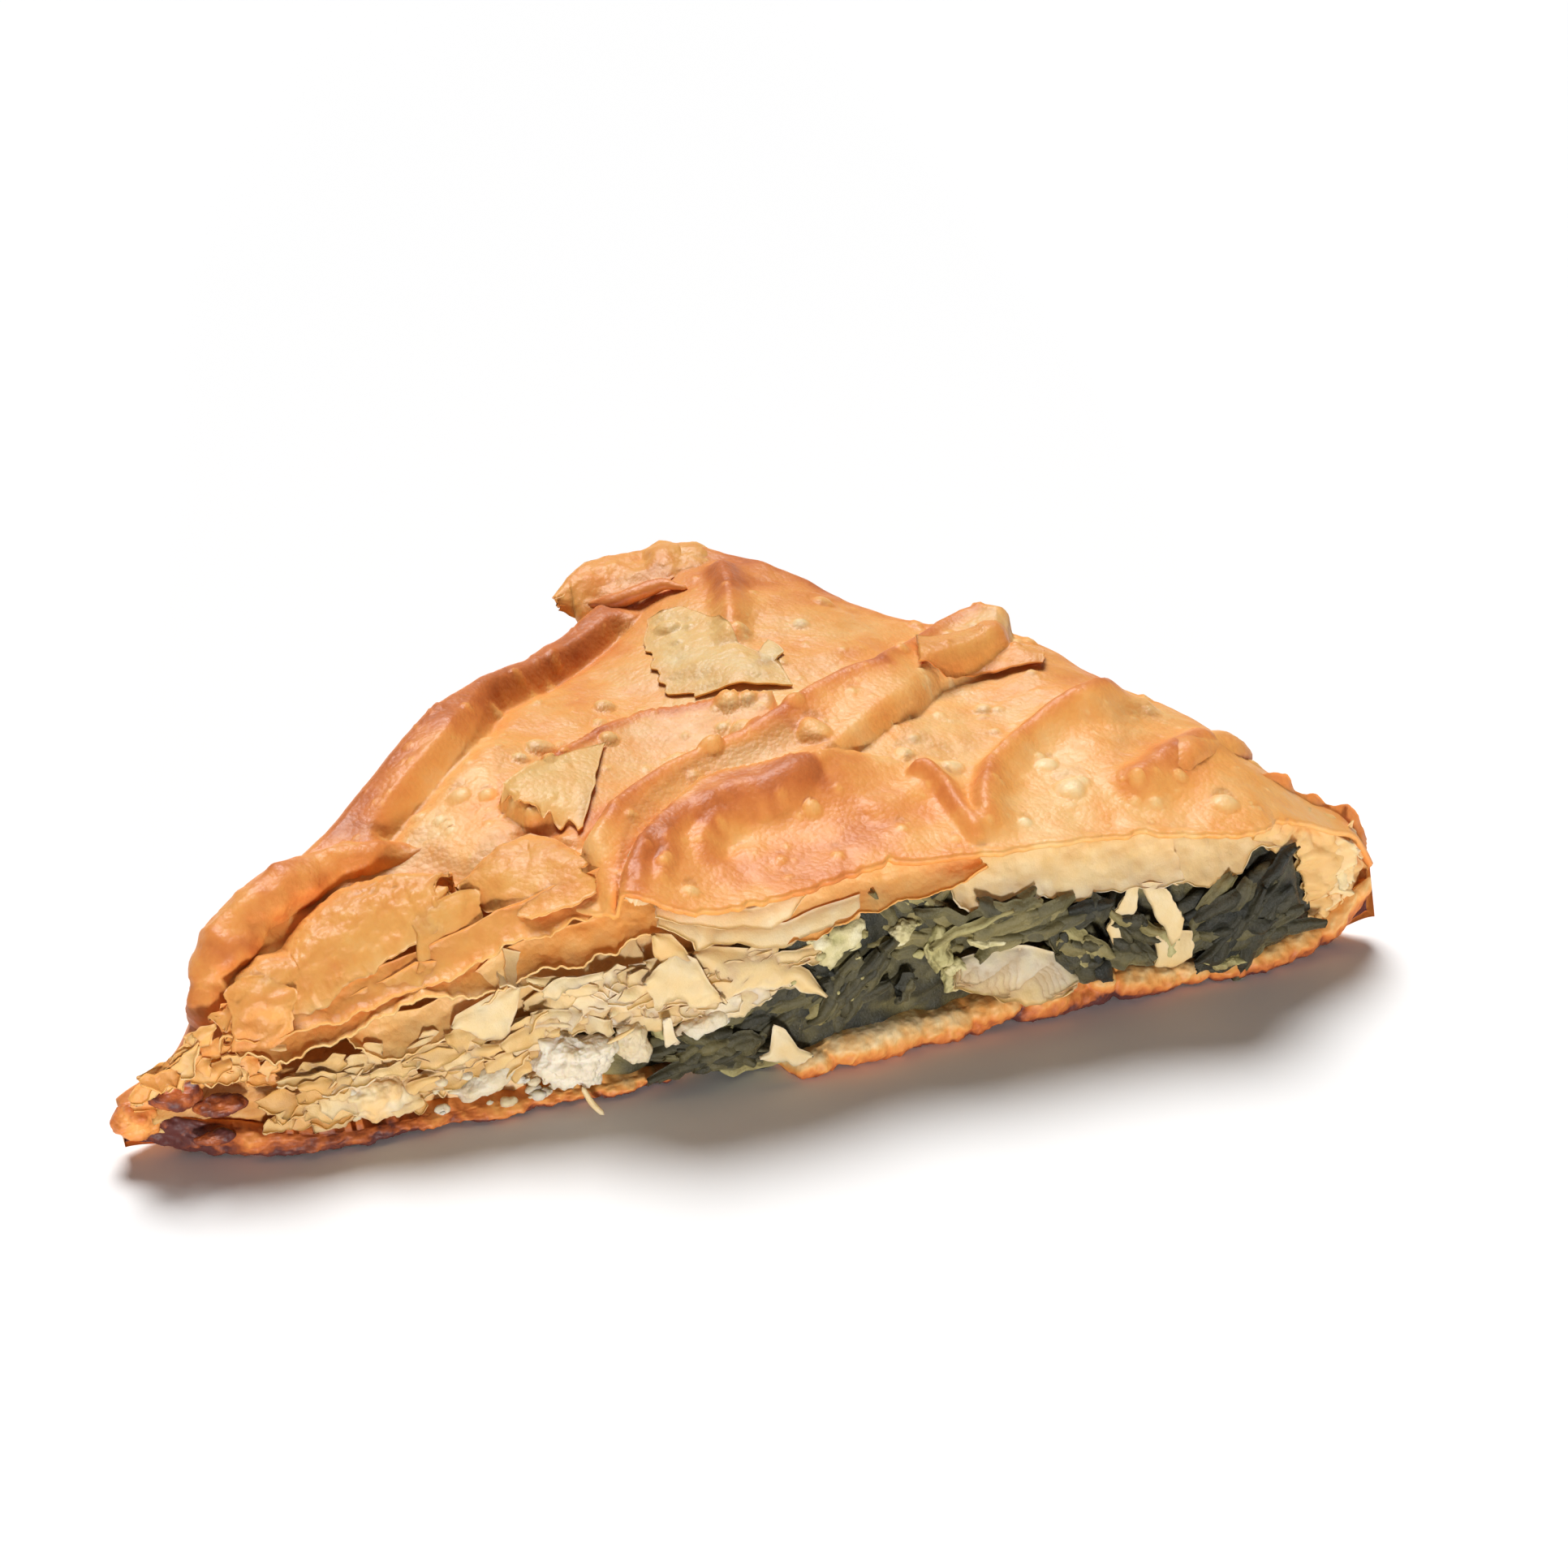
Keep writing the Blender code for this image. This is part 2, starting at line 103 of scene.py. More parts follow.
CURL = [(79.5, 6.5), (80.5, 12), (83, 15), (86.5, 15), (89, 13.5)]
STRAP_FRONT = [(90, 14.5), (95.5, 16), (98.5, 19), (102, 23), (107, 27), (113.5, 31.5), (118, 34), (124, 41)]
BACK_PLEAT = [
    (57.5, 29), (63, 33.5), (69, 38.5), (74.5, 42.5), (78, 44), (81.5, 45.5), (87, 44.5), (93, 43.5),
    (99.5, 41.5),
]
RIGHT_RIDGE = [
    (118, 3), (119.5, 10.5), (123.5, 18.5), (127, 21.5), (132, 25.5), (136.5, 28), (142.5, 30.5), (150, 36),
]
SHORT_RIDGE = [(111.5, 20), (114, 19), (115.6, 15.5), (116, 10), (116.4, 3)]
KNOB_ROLL = [(138, 8), (144.5, 11.5), (151, 16), (155, 18.5), (159.5, 20)]
CORNER_PLEAT = [(98, 58), (100.5, 66.5), (103, 76.5), (104.5, 86)]

# Rounded ridges of the top: line, height, width, lean, share of the length over which each end fades
RIDGES = [
    (DARK_ROLL, 1.3, 2.8, 0.2, 0.25),
    (CURL, 1.0, 1.3, 0.0, 0.3),
    ([(82, 7), (84, 11.5), (88.5, 12)], -0.8, 1.4, 0.0, 0.4),
    ([(72, 3), (74.5, 8), (76.5, 13)], 0.7, 1.0, 0.0, 0.12),
    ([(69, 2), (72, 12)], 0.5, 0.8, 0.0, 0.12),
    (RIGHT_RIDGE, 2.6, 2.1, 0.35, 0.1),
    (SHORT_RIDGE, 2.0, 1.3, -0.2, 0.1),
    (KNOB_ROLL, 2.6, 3.2, 0.1, 0.2),
    (CORNER_PLEAT, 2.2, 2.0, 0.2, 0.15),
    ([(140, 26), (146, 30), (153, 31)], 1.2, 2.4, 0.0, 0.12),
    ([(103, 12), (110, 15), (118, 22)], 0.8, 2.2, 0.0, 0.12),
]

# Tones along the folds: line, change of bake, width, how far to its left
LINE_TONES = [
    (SHINGLE_CREST, 0.26, 2.6, -1.0),
    (BACK_PLEAT, 0.30, 1.5, -0.5),
    (FRONT_CREST, 0.16, 2.4, -1.4),
    (DARK_ROLL, 0.26, 2.8, 0.0),
    ([(67, 1), (70, 8), (74, 13), (80, 16)], 0.10, 3.0, 0.0),
    (CURL, 0.10, 1.4, 0.0),
    (RIGHT_RIDGE, 0.28, 2.0, 0.0),
    (SHORT_RIDGE, 0.26, 1.4, 0.0),
    (KNOB_ROLL, 0.24, 3.2, 0.0),
    (CORNER_PLEAT, 0.22, 2.2, 0.0),
    ([(98, 30), (107, 36), (118, 43)], 0.12, 4.0, 0.0),
]

# A dimple between the folds, also darkened in top_bake as painted shade
DIMPLE = (61, 21.5)

# Bubbles of the top filo: x, y, radius, height
BUBBLES = [
    (78, 53.5, 1.6, 1.0), (76, 48.5, 1.0, 0.6), (66, 42.5, 1.9, 1.1), (62.5, 39.5, 1.1, 0.7),
    (65, 34.5, 1.1, 0.9), (68, 36.5, 0.9, 0.6), (75, 39.5, 1.3, 0.9), (93, 42, 1.9, 1.2),
    (95.5, 41, 1.3, 0.9), (83, 33, 1.5, 0.8), (87, 30.3, 1.7, 1.2), (88.6, 33.2, 1.6, 1.2),
    (93.3, 34.7, 2.2, 1.3), (90.8, 37, 1.0, 0.6), (101.5, 29.5, 2.2, 1.4), (100.5, 35.5, 1.5, 0.8),
    (96.5, 14.5, 1.3, 0.9), (76, 2, 1.1, 0.7), (73.5, 6.5, 0.9, 0.6), (72.3, 9.5, 0.7, 0.5),
    (132.5, 11.5, 2.2, 1.0), (134.5, 12.5, 1.3, 0.7), (152.5, 4.5, 1.9, 0.9), (148, 10, 1.0, 0.6),
    (118.5, 20, 1.6, 0.8), (113, 24.5, 1.4, 0.7), (103.5, 42.5, 1.2, 0.7), (109, 44.8, 1.3, 0.8),
    (112.5, 47, 1.1, 0.6), (52.5, 33.5, 1.5, 0.8), (56, 32, 1.0, 0.6), (49, 30.5, 0.8, 0.5),
    (58, 52, 0.9, 0.5), (63, 56, 0.9, 0.5), (68, 63.5, 1.0, 0.6), (75, 69, 1.0, 0.6), (120, 46, 1.0, 0.5),
    (128, 34, 1.3, 0.6), (110, 62, 1.3, 0.6), (116, 70, 1.5, 0.6), (92, 69.5, 1.8, 1.0),
    (101, 62, 1.2, 0.7), (141.5, 9.5, 1.1, 0.6), (131.5, 18, 1.4, 0.6), (124, 6, 0.9, 0.5),
    (107, 8, 0.8, 0.4), (97, 5, 0.9, 0.5),
]

# Broad tones of the top filo: x, y, radius, change of bake
TOP_TONES = [
    (101, 6, 13, 0.05), (86, 4, 9, -0.04), (112, 12, 8, 0.06), (124, 8, 7, -0.06), (130, 30, 14, 0.0),
    (113, 33, 12, -0.02), (140, 18, 10, -0.03), (150, 6, 8, 0.04), (66, 52, 11, 0.12), (54, 38, 8, 0.07),
    (110, 74, 13, 0.12), (118, 62, 10, 0.0), (95, 60, 10, -0.05), (143, 38, 10, 0.06), (80, 60, 8, 0.02),
]

PERMUTATION = np.random.default_rng(7).permutation(256)
GRADIENTS = np.random.default_rng(8).normal(size=(256, 3))
GRADIENTS /= np.linalg.norm(GRADIENTS, axis=1, keepdims=True)


# Numbers

def curve(knots, x):
    """Smooth line through the knots, level beyond their ends. x may be an array."""
    xs = np.array([k[0] for k in knots], float)
    vs = np.array([k[1] for k in knots], float)
    x = np.clip(np.asarray(x, float), xs[0], xs[-1])
    i = np.clip(np.searchsorted(xs, x, side="right") - 1, 0, len(xs) - 2)
    before = np.maximum(i - 1, 0)
    after = np.minimum(i + 2, len(xs) - 1)
    width = xs[i + 1] - xs[i]
    start = (vs[i + 1] - vs[before]) / (xs[i + 1] - xs[before]) * width
    end = (vs[after] - vs[i]) / (xs[after] - xs[i]) * width
    t = (x - xs[i]) / width
    value = (2 * t**3 - 3 * t**2 + 1) * vs[i] + (3 * t**2 - 2 * t**3) * vs[i + 1]
    return value + (t**3 - 2 * t**2 + t) * start + (t**3 - t**2) * end


def ease(edge0, edge1, value):
    """0 before edge0, 1 after edge1, smooth between."""
    t = np.clip((value - edge0) / (edge1 - edge0), 0.0, 1.0)
    return t * t * (3 - 2 * t)


def bell(offset, wide):
    """1 at no offset, falling off smoothly over this width."""
    return np.exp(-((offset / wide) ** 2))


def noise(x, y, z, size):
    """Gradient noise from about -1 to 1, with features of this size."""
    q = np.stack(np.broadcast_arrays(np.asarray(x, float), y, z), -1) / size
    cell = np.floor(q).astype(int)
    part = q - cell
    fade = part**3 * (part * (part * 6 - 15) + 10)
    total = np.zeros(q.shape[:-1])
    for corner in np.ndindex(2, 2, 2):
        spot = cell + corner
        key = PERMUTATION[spot[..., 0] & 255]
        key = PERMUTATION[(key + spot[..., 1]) & 255]
        key = PERMUTATION[(key + spot[..., 2]) & 255]
        share = np.prod(np.where(corner, fade, 1 - fade), axis=-1)
        total += share * np.sum(GRADIENTS[key] * (part - corner), axis=-1)
    return 1.6 * total


def cloud(x, y, z, size, octaves=3):
    """Noise of several sizes, each half as large and half as strong as the last."""
    total = 0.0
    for k in range(octaves):
        total = total + noise(x + 17.0 * k, y, z, size / 2**k) / 2**k
    return total


def creases(x, y, z, size, octaves=3):
    """Sharp ridges from 0 to 1, like crumpled skin."""
    total = 0.0
    weight = 0.0
    for k in range(octaves):
        total = total + (1 - np.abs(noise(x, y + 31.0 * k, z, size / 2**k))) ** 2 / 2**k
        weight += 0.5**k
    return total / weight


def offset_from(line, x, y):
    """Signed distance from a line, positive on the left of its direction, and the share of its length."""
    points = np.array(line, float)
    lengths = np.linalg.norm(np.diff(points, axis=0), axis=1)
    whole = lengths.sum()
    best = np.full(np.shape(x), 1e9)
    side = np.ones(np.shape(x))
    share = np.zeros(np.shape(x))
    gone = 0.0
    for (ax, ay), (bx, by), length in zip(points, points[1:], lengths):
        dx, dy = bx - ax, by - ay
        t = np.clip(((x - ax) * dx + (y - ay) * dy) / length**2, 0, 1)
        gx, gy = x - ax - t * dx, y - ay - t * dy
        gap = np.hypot(gx, gy)
        near = gap < best
        best = np.where(near, gap, best)
        side = np.where(near, np.where(dx * gy - dy * gx > 0, 1.0, -1.0), side)
        share = np.where(near, (gone + t * length) / whole, share)
        gone += length
    return best * side, share


def inside(outline, x, y):
    """Distance to a closed outline, positive inside it."""
    distance, _ = offset_from(list(outline) + [outline[0]], x, y)
    odd = np.zeros(np.shape(x), bool)
    points = list(outline)
    for (ax, ay), (bx, by) in zip(points, points[1:] + points[:1]):
        if ay == by:
            continue
        crosses = (ay > y) != (by > y)
        odd ^= crosses & (x < (bx - ax) * (y - ay) / (by - ay) + ax)
    return np.where(odd, np.abs(distance), -np.abs(distance))


# The folded top: height and bake

STRAP = SHINGLE_CREST + [(136, 46), (130, 43)] + STRAP_FRONT[::-1] + [(86, 17), (80, 15), (72, 8), (65, 3)]
FRONT_SHEET = FRONT_CREST + [(106, 26), (116, 20), (116, -6), (65, -6)]
PLEAT_BAND = BACK_PLEAT + [(98, 36), (92, 33), (79.5, 29), (69.5, 21), (64.5, 17), (60, 23)]


def base_height(x, y):
    """Height of the top before its folds."""
    front = curve(TOP_EDGE_Y, x)
    back = curve(BACK_EDGE_Y, x)
    share = np.clip((y - front) / np.maximum(1.0, back - front), 0, 1)
    level = curve(TOP_EDGE_Z, x) * (1 - share) + curve(WALL_TOP_Z, x) * share
    return level + DOME_RISE * ease(4, 30, back - front) * np.sin(np.pi * share)


def lay(height, region, level, edge=0.5):
    """Lays a sheet of this height over the region (a distance, positive inside) with a steep edge."""
    return height + (level - height) * ease(-edge, edge, region)


def ridge(x, y, line, tall, wide, lean, fade):
    """A rounded ridge along a line; lean makes its left side steeper than its right."""
    side, share = offset_from(line, x, y)
    reach = np.where(side > 0, wide * (1 - lean), wide * (1 + lean))
    ends = ease(0, fade, share) * ease(0, fade, 1 - share)
    return tall * bell(side, reach) * ends


def fold_heights(x, y):
    """Height that the folds add to the top."""
    sway = 0.35 * noise(x, y, 2, 6) + 0.18 * noise(x, y, 3, 2.2)
    h = 0.7 * noise(x, y, 0, 13) + 0.30 * noise(x, y, 1, 5) + 0.10 * noise(x, y, 4, 1.6)

    outer, _ = offset_from(RIM_INNER, x, y)
    rim_on = ease(34, 46, x) * ease(92, 84, x)
    h += rim_on * (2.7 * ease(0.4, 3.6, outer) - 1.1 * bell(outer, 1.6))

    crest, _ = offset_from(BACK_PLEAT, x + sway, y)
    level = 2.6 - 0.16 * np.abs(crest) + 0.5 * bell(crest, 1.0)
    h = lay(h, np.minimum(inside(PLEAT_BAND, x + sway, y), -crest), h * 0.4 + level)

    crest, share = offset_from(SHINGLE_CREST, x + 0.5 * sway, y)
    gap = np.abs(crest)
    hollow = 1.6 * bell(gap - 8, 4.0) * ease(0.75, 0.3, share)
    level = 3.6 + 1.3 * bell(gap, 2.6) - hollow + 0.4 * ease(0.8, 0.95, share)
    rounding = ease(0.0, 2.2, inside(STRAP, x, y)) ** 0.5
    h = lay(h, inside(STRAP, x + 0.4 * sway, y), h * 0.35 + level * (0.45 + 0.55 * rounding), 0.4)

    crest, _ = offset_from(FRONT_CREST, x + 0.5 * sway, y)
    gap = np.abs(crest)
    keep = 0.3 + 0.7 * ease(6, 14, gap)
    h = lay(h, inside(FRONT_SHEET, x + 0.4 * sway, y), h * keep + 3.6 * bell(gap, 7.0), 0.4)

    h -= 2.2 * bell(x - DIMPLE[0], 3.2) * bell(y - DIMPLE[1], 1.8)
    for line, tall, wide, lean, fade in RIDGES:
        h += ridge(x, y, line, tall, wide, lean, fade)
    return h


def bubble_heights(x, y):
    """Height that bubbles add, and how much of each point is bubble skin."""
    h = np.zeros(np.shape(x))
    skin = np.zeros(np.shape(x))
    for bx, by, radius, tall in BUBBLES:
        near = np.hypot(x - bx, y - by) / radius * (1 + 0.25 * noise(x, y, bx, 2.4))
        h = np.maximum(h, tall * np.clip(1 - near**2, 0, 1) ** 0.65)
        skin = np.maximum(skin, ease(1.1, 0.5, near))
    rng = np.random.default_rng(11)
    for _ in range(420):
        bx = rng.uniform(24, 165)
        by = rng.uniform(2, 90)
        radius = 0.35 + 0.8 * rng.random() ** 2
        near = np.hypot(x - bx, y - by) / radius
        h = np.maximum(h, 0.42 * radius * np.clip(1 - near**2, 0, 1))
        skin = np.maximum(skin, 0.7 * ease(1.05, 0.3, near))
    return h, skin


def top_height(x, y):
    """Height of the top with its folds and bubbles."""
    room = ease(4, 26, curve(BACK_EDGE_Y, x) - curve(TOP_EDGE_Y, x))
    bubbles, _ = bubble_heights(x, y)
    return base_height(x, y) + room * fold_heights(x, y) + bubbles


def top_bake(x, y):
    """How browned the top is, from 0 raw to 1 burnt."""
    b = 0.44 + 0.12 * noise(x, y, 20, 14) + 0.11 * noise(x, y, 21, 6) + 0.06 * noise(x, y, 22, 2.2)
    # Partly painted light: the front sheet is browned more, but this amount is set lighter so that the slope
    # facing the camera, which the key light barely reaches, looks brighter.
    b += 0.14 * np.clip(inside(FRONT_SHEET, x, y) / 2, 0, 1)
    outer, _ = offset_from(RIM_INNER, x, y)
    b += 0.15 * ease(0.5, 3.5, outer) * ease(30, 40, x) * ease(94, 86, x)
    # Painted shade: the dimple is browned darker so that it reads as a shaded hollow.
    b += 0.20 * bell(x - DIMPLE[0], 3.6) * bell(y - DIMPLE[1], 2.2)
    for tx, ty, radius, change in TOP_TONES:
        b += change * bell(x - tx, radius) * bell(y - ty, radius)
    for line, change, wide, aside in LINE_TONES:
        side, share = offset_from(line, x, y)
        b += change * bell(side - aside, wide) * ease(0, 0.08, share) * ease(0, 0.08, 1 - share)
    edge = curve(BACK_EDGE_Y, x) - y
    b += 0.28 * bell(edge, 7.0) * ease(100, 88, x)
    b += 0.22 * bell(edge, 5.0) * ease(98, 112, x)
    b += 0.16 * ease(66, 88, y)
    _, skin = bubble_heights(x, y)
    return np.clip(b - 0.18 * skin, 0.12, 0.80)


# Meshes

def world(points):
    """Points of the design frame, in mm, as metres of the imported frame."""
    return (np.asarray(points, float) - MIDDLE) * MM


def normals_of(grid):
    """Unit normals of a grid of points, shape (n, m, 3)."""
    along = np.gradient(grid, axis=0)
    across = np.gradient(grid, axis=1)
    n = np.cross(along, across)
    return n / np.maximum(np.linalg.norm(n, axis=-1, keepdims=True), 1e-9)


def grid_faces(n, m, start=0, flip=False):
    """Quads between the points of an n by m grid whose first point has this number."""
    i, j = np.meshgrid(np.arange(n - 1), np.arange(m - 1), indexing="ij")
    a = (i * m + j).ravel() + start
    quads = np.stack([a, a + m, a + m + 1, a + 1], 1)
    return quads[:, ::-1] if flip else quads


def slab(grid, thick, bake):
    """A closed thin solid about a grid of points: vertices, quads and bake."""
    n, m, _ = grid.shape
    half = normals_of(grid) * thick / 2
    verts = np.concatenate([(grid + half).reshape(-1, 3), (grid - half).reshape(-1, 3)])
    count = n * m
    border = np.concatenate([
        np.arange(n) * m,
        (n - 1) * m + np.arange(1, m),
        np.arange(n - 2, -1, -1) * m + m - 1,
        np.arange(m - 2, 0, -1),
    ])
    following = np.roll(border, -1)
    rim = np.stack([border, border + count, following + count, following], 1)
    faces = np.concatenate([grid_faces(n, m), grid_faces(n, m, count, flip=True), rim[:, ::-1]])
    tone = np.broadcast_to(bake, (n, m)).reshape(-1)
    return verts, faces, np.concatenate([tone, tone])


class Pile:
    """Collects solids that become one piece."""

    def __init__(self, name):
        self.name = name
        self.verts = []
        self.faces = []
        self.bake = []
        self.count = 0

    def add(self, solid):
        verts, faces, bake = solid
        self.verts.append(verts)
        self.faces.append(faces + self.count)
        self.bake.append(np.broadcast_to(bake, len(verts)))
        self.count += len(verts)

    def finish(self, skin, replaces=()):
        """Makes the piece, with nothing of it below the table."""
        points = np.concatenate(self.verts)
        points[:, 2] = np.maximum(points[:, 2], 0.0)
        verts = world(points)
        quads = np.concatenate(self.faces)
        mesh = bpy.data.meshes.new(self.name)
        mesh.vertices.add(len(verts))
        mesh.vertices.foreach_set("co", verts.astype(np.float32).ravel())
        corners = quads.shape[1]
        mesh.loops.add(quads.size)
        mesh.loops.foreach_set("vertex_index", quads.astype(np.int32).ravel())
        mesh.polygons.add(len(quads))
        mesh.polygons.foreach_set("loop_start", np.arange(0, quads.size, corners, dtype=np.int32))
        mesh.update(calc_edges=True)
        tone = mesh.attributes.new("bake", "FLOAT", "POINT")
        tone.data.foreach_set("value", np.concatenate(self.bake).astype(np.float32))
        mesh.materials.append(skin)
        mesh.shade_smooth()
        piece = bpy.data.objects.new(self.name, mesh)
        bpy.context.scene.collection.objects.link(piece)
        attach(piece, "root")
        if replaces:
            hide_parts(*replaces)


# Materials

def new_material(name):
    """A new material with its nodes, its links and its shader."""
    made = bpy.data.materials.new(name)
    made.use_nodes = True
    return made, made.node_tree.nodes, made.node_tree.links, made.node_tree.nodes["Principled BSDF"]


def noise_node(nodes, links, scale, detail=4.0, roughness=0.55, distortion=0.0):
    """A noise texture in object coordinates; scale is per metre."""
    place = nodes.new("ShaderNodeTexCoord")
    made = nodes.new("ShaderNodeTexNoise")
    made.inputs["Scale"].default_value = scale
    made.inputs["Detail"].default_value = detail
    made.inputs["Roughness"].default_value = roughness
    made.inputs["Distortion"].default_value = distortion
    links.new(place.outputs["Object"], made.inputs["Vector"])
    return made.outputs["Fac"]


def cell_node(nodes, links, scale):
    """Distance to the nearest of many scattered points, for fine blisters; scale is per metre."""
    place = nodes.new("ShaderNodeTexCoord")
    made = nodes.new("ShaderNodeTexVoronoi")
    made.inputs["Scale"].default_value = scale
    links.new(place.outputs["Object"], made.inputs["Vector"])
    return made.outputs["Distance"]


def math_node(nodes, links, kind, a, b):
    made = nodes.new("ShaderNodeMath")
    made.operation = kind
    for socket, value in zip(made.inputs, (a, b)):
        if isinstance(value, (int, float)):
            socket.default_value = value
        else:
            links.new(value, socket)
    return made.outputs[0]


def ramp_node(nodes, links, fac, stops):
    made = nodes.new("ShaderNodeValToRGB")
    ramp = made.color_ramp
    while len(ramp.elements) > 1:
        ramp.elements.remove(ramp.elements[-1])
    ramp.elements[0].position = stops[0][0]
    ramp.elements[0].color = (*stops[0][1], 1.0)
    for position, colour in stops[1:]:
        ramp.elements.new(position).color = (*colour, 1.0)
    links.new(fac, made.inputs["Fac"])
    return made.outputs["Color"]


def bump_node(nodes, links, height, strength, distance):
    made = nodes.new("ShaderNodeBump")
    made.inputs["Strength"].default_value = strength
    made.inputs["Distance"].default_value = distance
    links.new(height, made.inputs["Height"])
    return made.outputs["Normal"]


FILO_TONES = [
    (0.00, (0.90, 0.74, 0.47)),
    (0.18, (0.89, 0.64, 0.33)),
    (0.34, (0.88, 0.51, 0.19)),
    (0.50, (0.87, 0.39, 0.100)),
    (0.64, (0.80, 0.29, 0.070)),
    (0.78, (0.64, 0.185, 0.045)),
    (0.90, (0.38, 0.095, 0.028)),
    (1.00, (0.12, 0.035, 0.03)),
]


def bake_node(nodes):
    """The bake that the mesh carries at each point."""
    made = nodes.new("ShaderNodeAttribute")
    made.attribute_name = "bake"
    return made.outputs["Fac"]


def let_glow(shader, weight, radius, scale):
    """Lets light wander under the surface; scale is in metres."""
    shader.inputs["Subsurface Weight"].default_value = weight
    shader.inputs["Subsurface Radius"].default_value = radius
    shader.inputs["Subsurface Scale"].default_value = scale


def filo_material(name, gloss, patch, glow):
    """Baked filo: colour by the bake attribute, broken up by patches and freckles, with fine blisters."""
    made, nodes, links, shader = new_material(name)
    patches = math_node(nodes, links, "SUBTRACT", noise_node(nodes, links, 160, 5), 0.5)
    patches = math_node(nodes, links, "MULTIPLY", patches, 2 * patch)
    freckles = math_node(nodes, links, "SUBTRACT", noise_node(nodes, links, 1100, 4, 0.7), 0.5)
    freckles = math_node(nodes, links, "MULTIPLY", freckles, 1.2 * patch)
    level = math_node(nodes, links, "ADD", bake_node(nodes), patches)
    level = math_node(nodes, links, "ADD", level, freckles)
    links.new(ramp_node(nodes, links, level, FILO_TONES), shader.inputs["Base Color"])
    rough = math_node(nodes, links, "MULTIPLY", noise_node(nodes, links, 420, 4), 0.35)
    links.new(math_node(nodes, links, "ADD", rough, gloss - 0.17), shader.inputs["Roughness"])
    blisters = math_node(nodes, links, "MULTIPLY", cell_node(nodes, links, 1300),
                         noise_node(nodes, links, 210, 3))
    grain = math_node(nodes, links, "ADD", noise_node(nodes, links, 900, 6, 0.65),
                      noise_node(nodes, links, 260, 3))
    grain = math_node(nodes, links, "SUBTRACT", grain, math_node(nodes, links, "MULTIPLY", blisters, 1.4))
    links.new(bump_node(nodes, links, grain, 0.30, 0.00035), shader.inputs["Normal"])
    shader.inputs["Specular IOR Level"].default_value = 0.33
    let_glow(shader, glow, (1.0, 0.5, 0.2), 0.0022)
    return made


# Pieces

def resample(points, count):
    """Points evenly spaced along a broken line."""
    points = np.array(points, float)
    gone = np.concatenate([[0], np.cumsum(np.linalg.norm(np.diff(points, axis=0), axis=1))])
    spots = np.linspace(0, gone[-1], count)
    return np.stack([np.interp(spots, gone, points[:, k]) for k in range(points.shape[1])], -1)


def length_of(points):
    return np.linalg.norm(np.diff(np.array(points, float), axis=0), axis=1).sum()


def at_depth(y, points):
    """Points given as (x, z), placed at this y, or at ys going evenly from y[0] to y[1]."""
    ys = np.linspace(y[0], y[1], len(points)) if isinstance(y, tuple) else [y] * len(points)
    return [(x, depth, z) for (x, z), depth in zip(points, ys)]


def on_top(lift, points):
    """Points given as (x, y), placed this far above the folded top."""
    xs = np.array([p[0] for p in points], float)
    ys = np.array([p[1] for p in points], float)
    zs = top_height(xs, ys) + lift
    return list(zip(xs, ys, zs))


def sheet(low, high, seed, bow=0.8, torn=0.5, crumple=0.25, thick=0.4, bake=0.2, edge=0.12, step=0.42,
          curl=0.0, ends=0.5, wrinkle=0.0, pimples=0.0, veins=0.0, fade=0.0):
    """A thin solid hung between two lines in space. Its low line and its ends are torn."""
    span = max(length_of(low), length_of(high))
    n = int(np.clip(span / step, 10, 420))
    low = resample(low, n)
    high = resample(high, n)
    depth = np.linalg.norm(low - high, axis=1).mean()
    m = int(np.clip(depth / step, 7, 60))
    u = np.linspace(0, 1, n)
    v = np.linspace(0, 1, m)[None, :]
    along = u * span
    reach = 1 + torn * (cloud(along, seed, 0, 3.0, 3) + 0.8 * noise(along, seed, 5, 8)) / max(depth, 1.0)
    grid = high[:, None] + (low - high)[:, None] * (v * reach[:, None])[..., None]
    jag = ends * cloud(v * depth, seed + 3, 0, 2.2, 3)
    jag_far = ends * cloud(v * depth, seed + 6, 0, 2.2, 3)
    direction = (low[-1] - low[0]) / max(1e-6, np.linalg.norm(low[-1] - low[0]))
    near_start = ease(3.0, 0, along)[:, None]
    near_end = ease(3.0, 0, span - along)[:, None]
    grid = grid + direction * (jag * near_start + jag_far * near_end)[..., None]
    normal = normals_of(grid)
    if (normal * np.array([0, -1, 0.7])).sum(-1).mean() < 0:
        normal = -normal
        grid = grid[::-1]
        normal = normal[::-1]
    x, y, z = grid[..., 0], grid[..., 1], grid[..., 2]
    push = bow * np.sin(np.pi * v ** 0.8) + crumple * cloud(x + seed, y * 1.3, z, 5, 3) + curl * v**6
    push = push + wrinkle * (creases(x * 0.8 + seed, y, z * 1.4, 5) - 0.6)
    if veins:
        push = push + veins * (creases(along[:, None] * 0.22, v * depth, seed, 1.7, 2) - 0.55)
    patches = ease(-0.3, 0.3, noise(x, y, z + seed, 6))
    push = push + pimples * np.clip(noise(x, y + seed, z, 1.1), 0, 1) * patches
    grid = grid + normal * push[..., None]
    # fade shifts the bake evenly from the high line to the low line. A negative fade darkens the high part; the
    # cut-face sheets use it as painted shade under the overhanging top.
    tone = bake + fade * v + edge * v**10
    tone = tone + 0.06 * cloud(x, y + seed, z, 7, 3) + 0.05 * noise(x * 0.7, y, z + seed, 1.5)
    return slab(grid, thick, np.clip(tone, 0, 1))


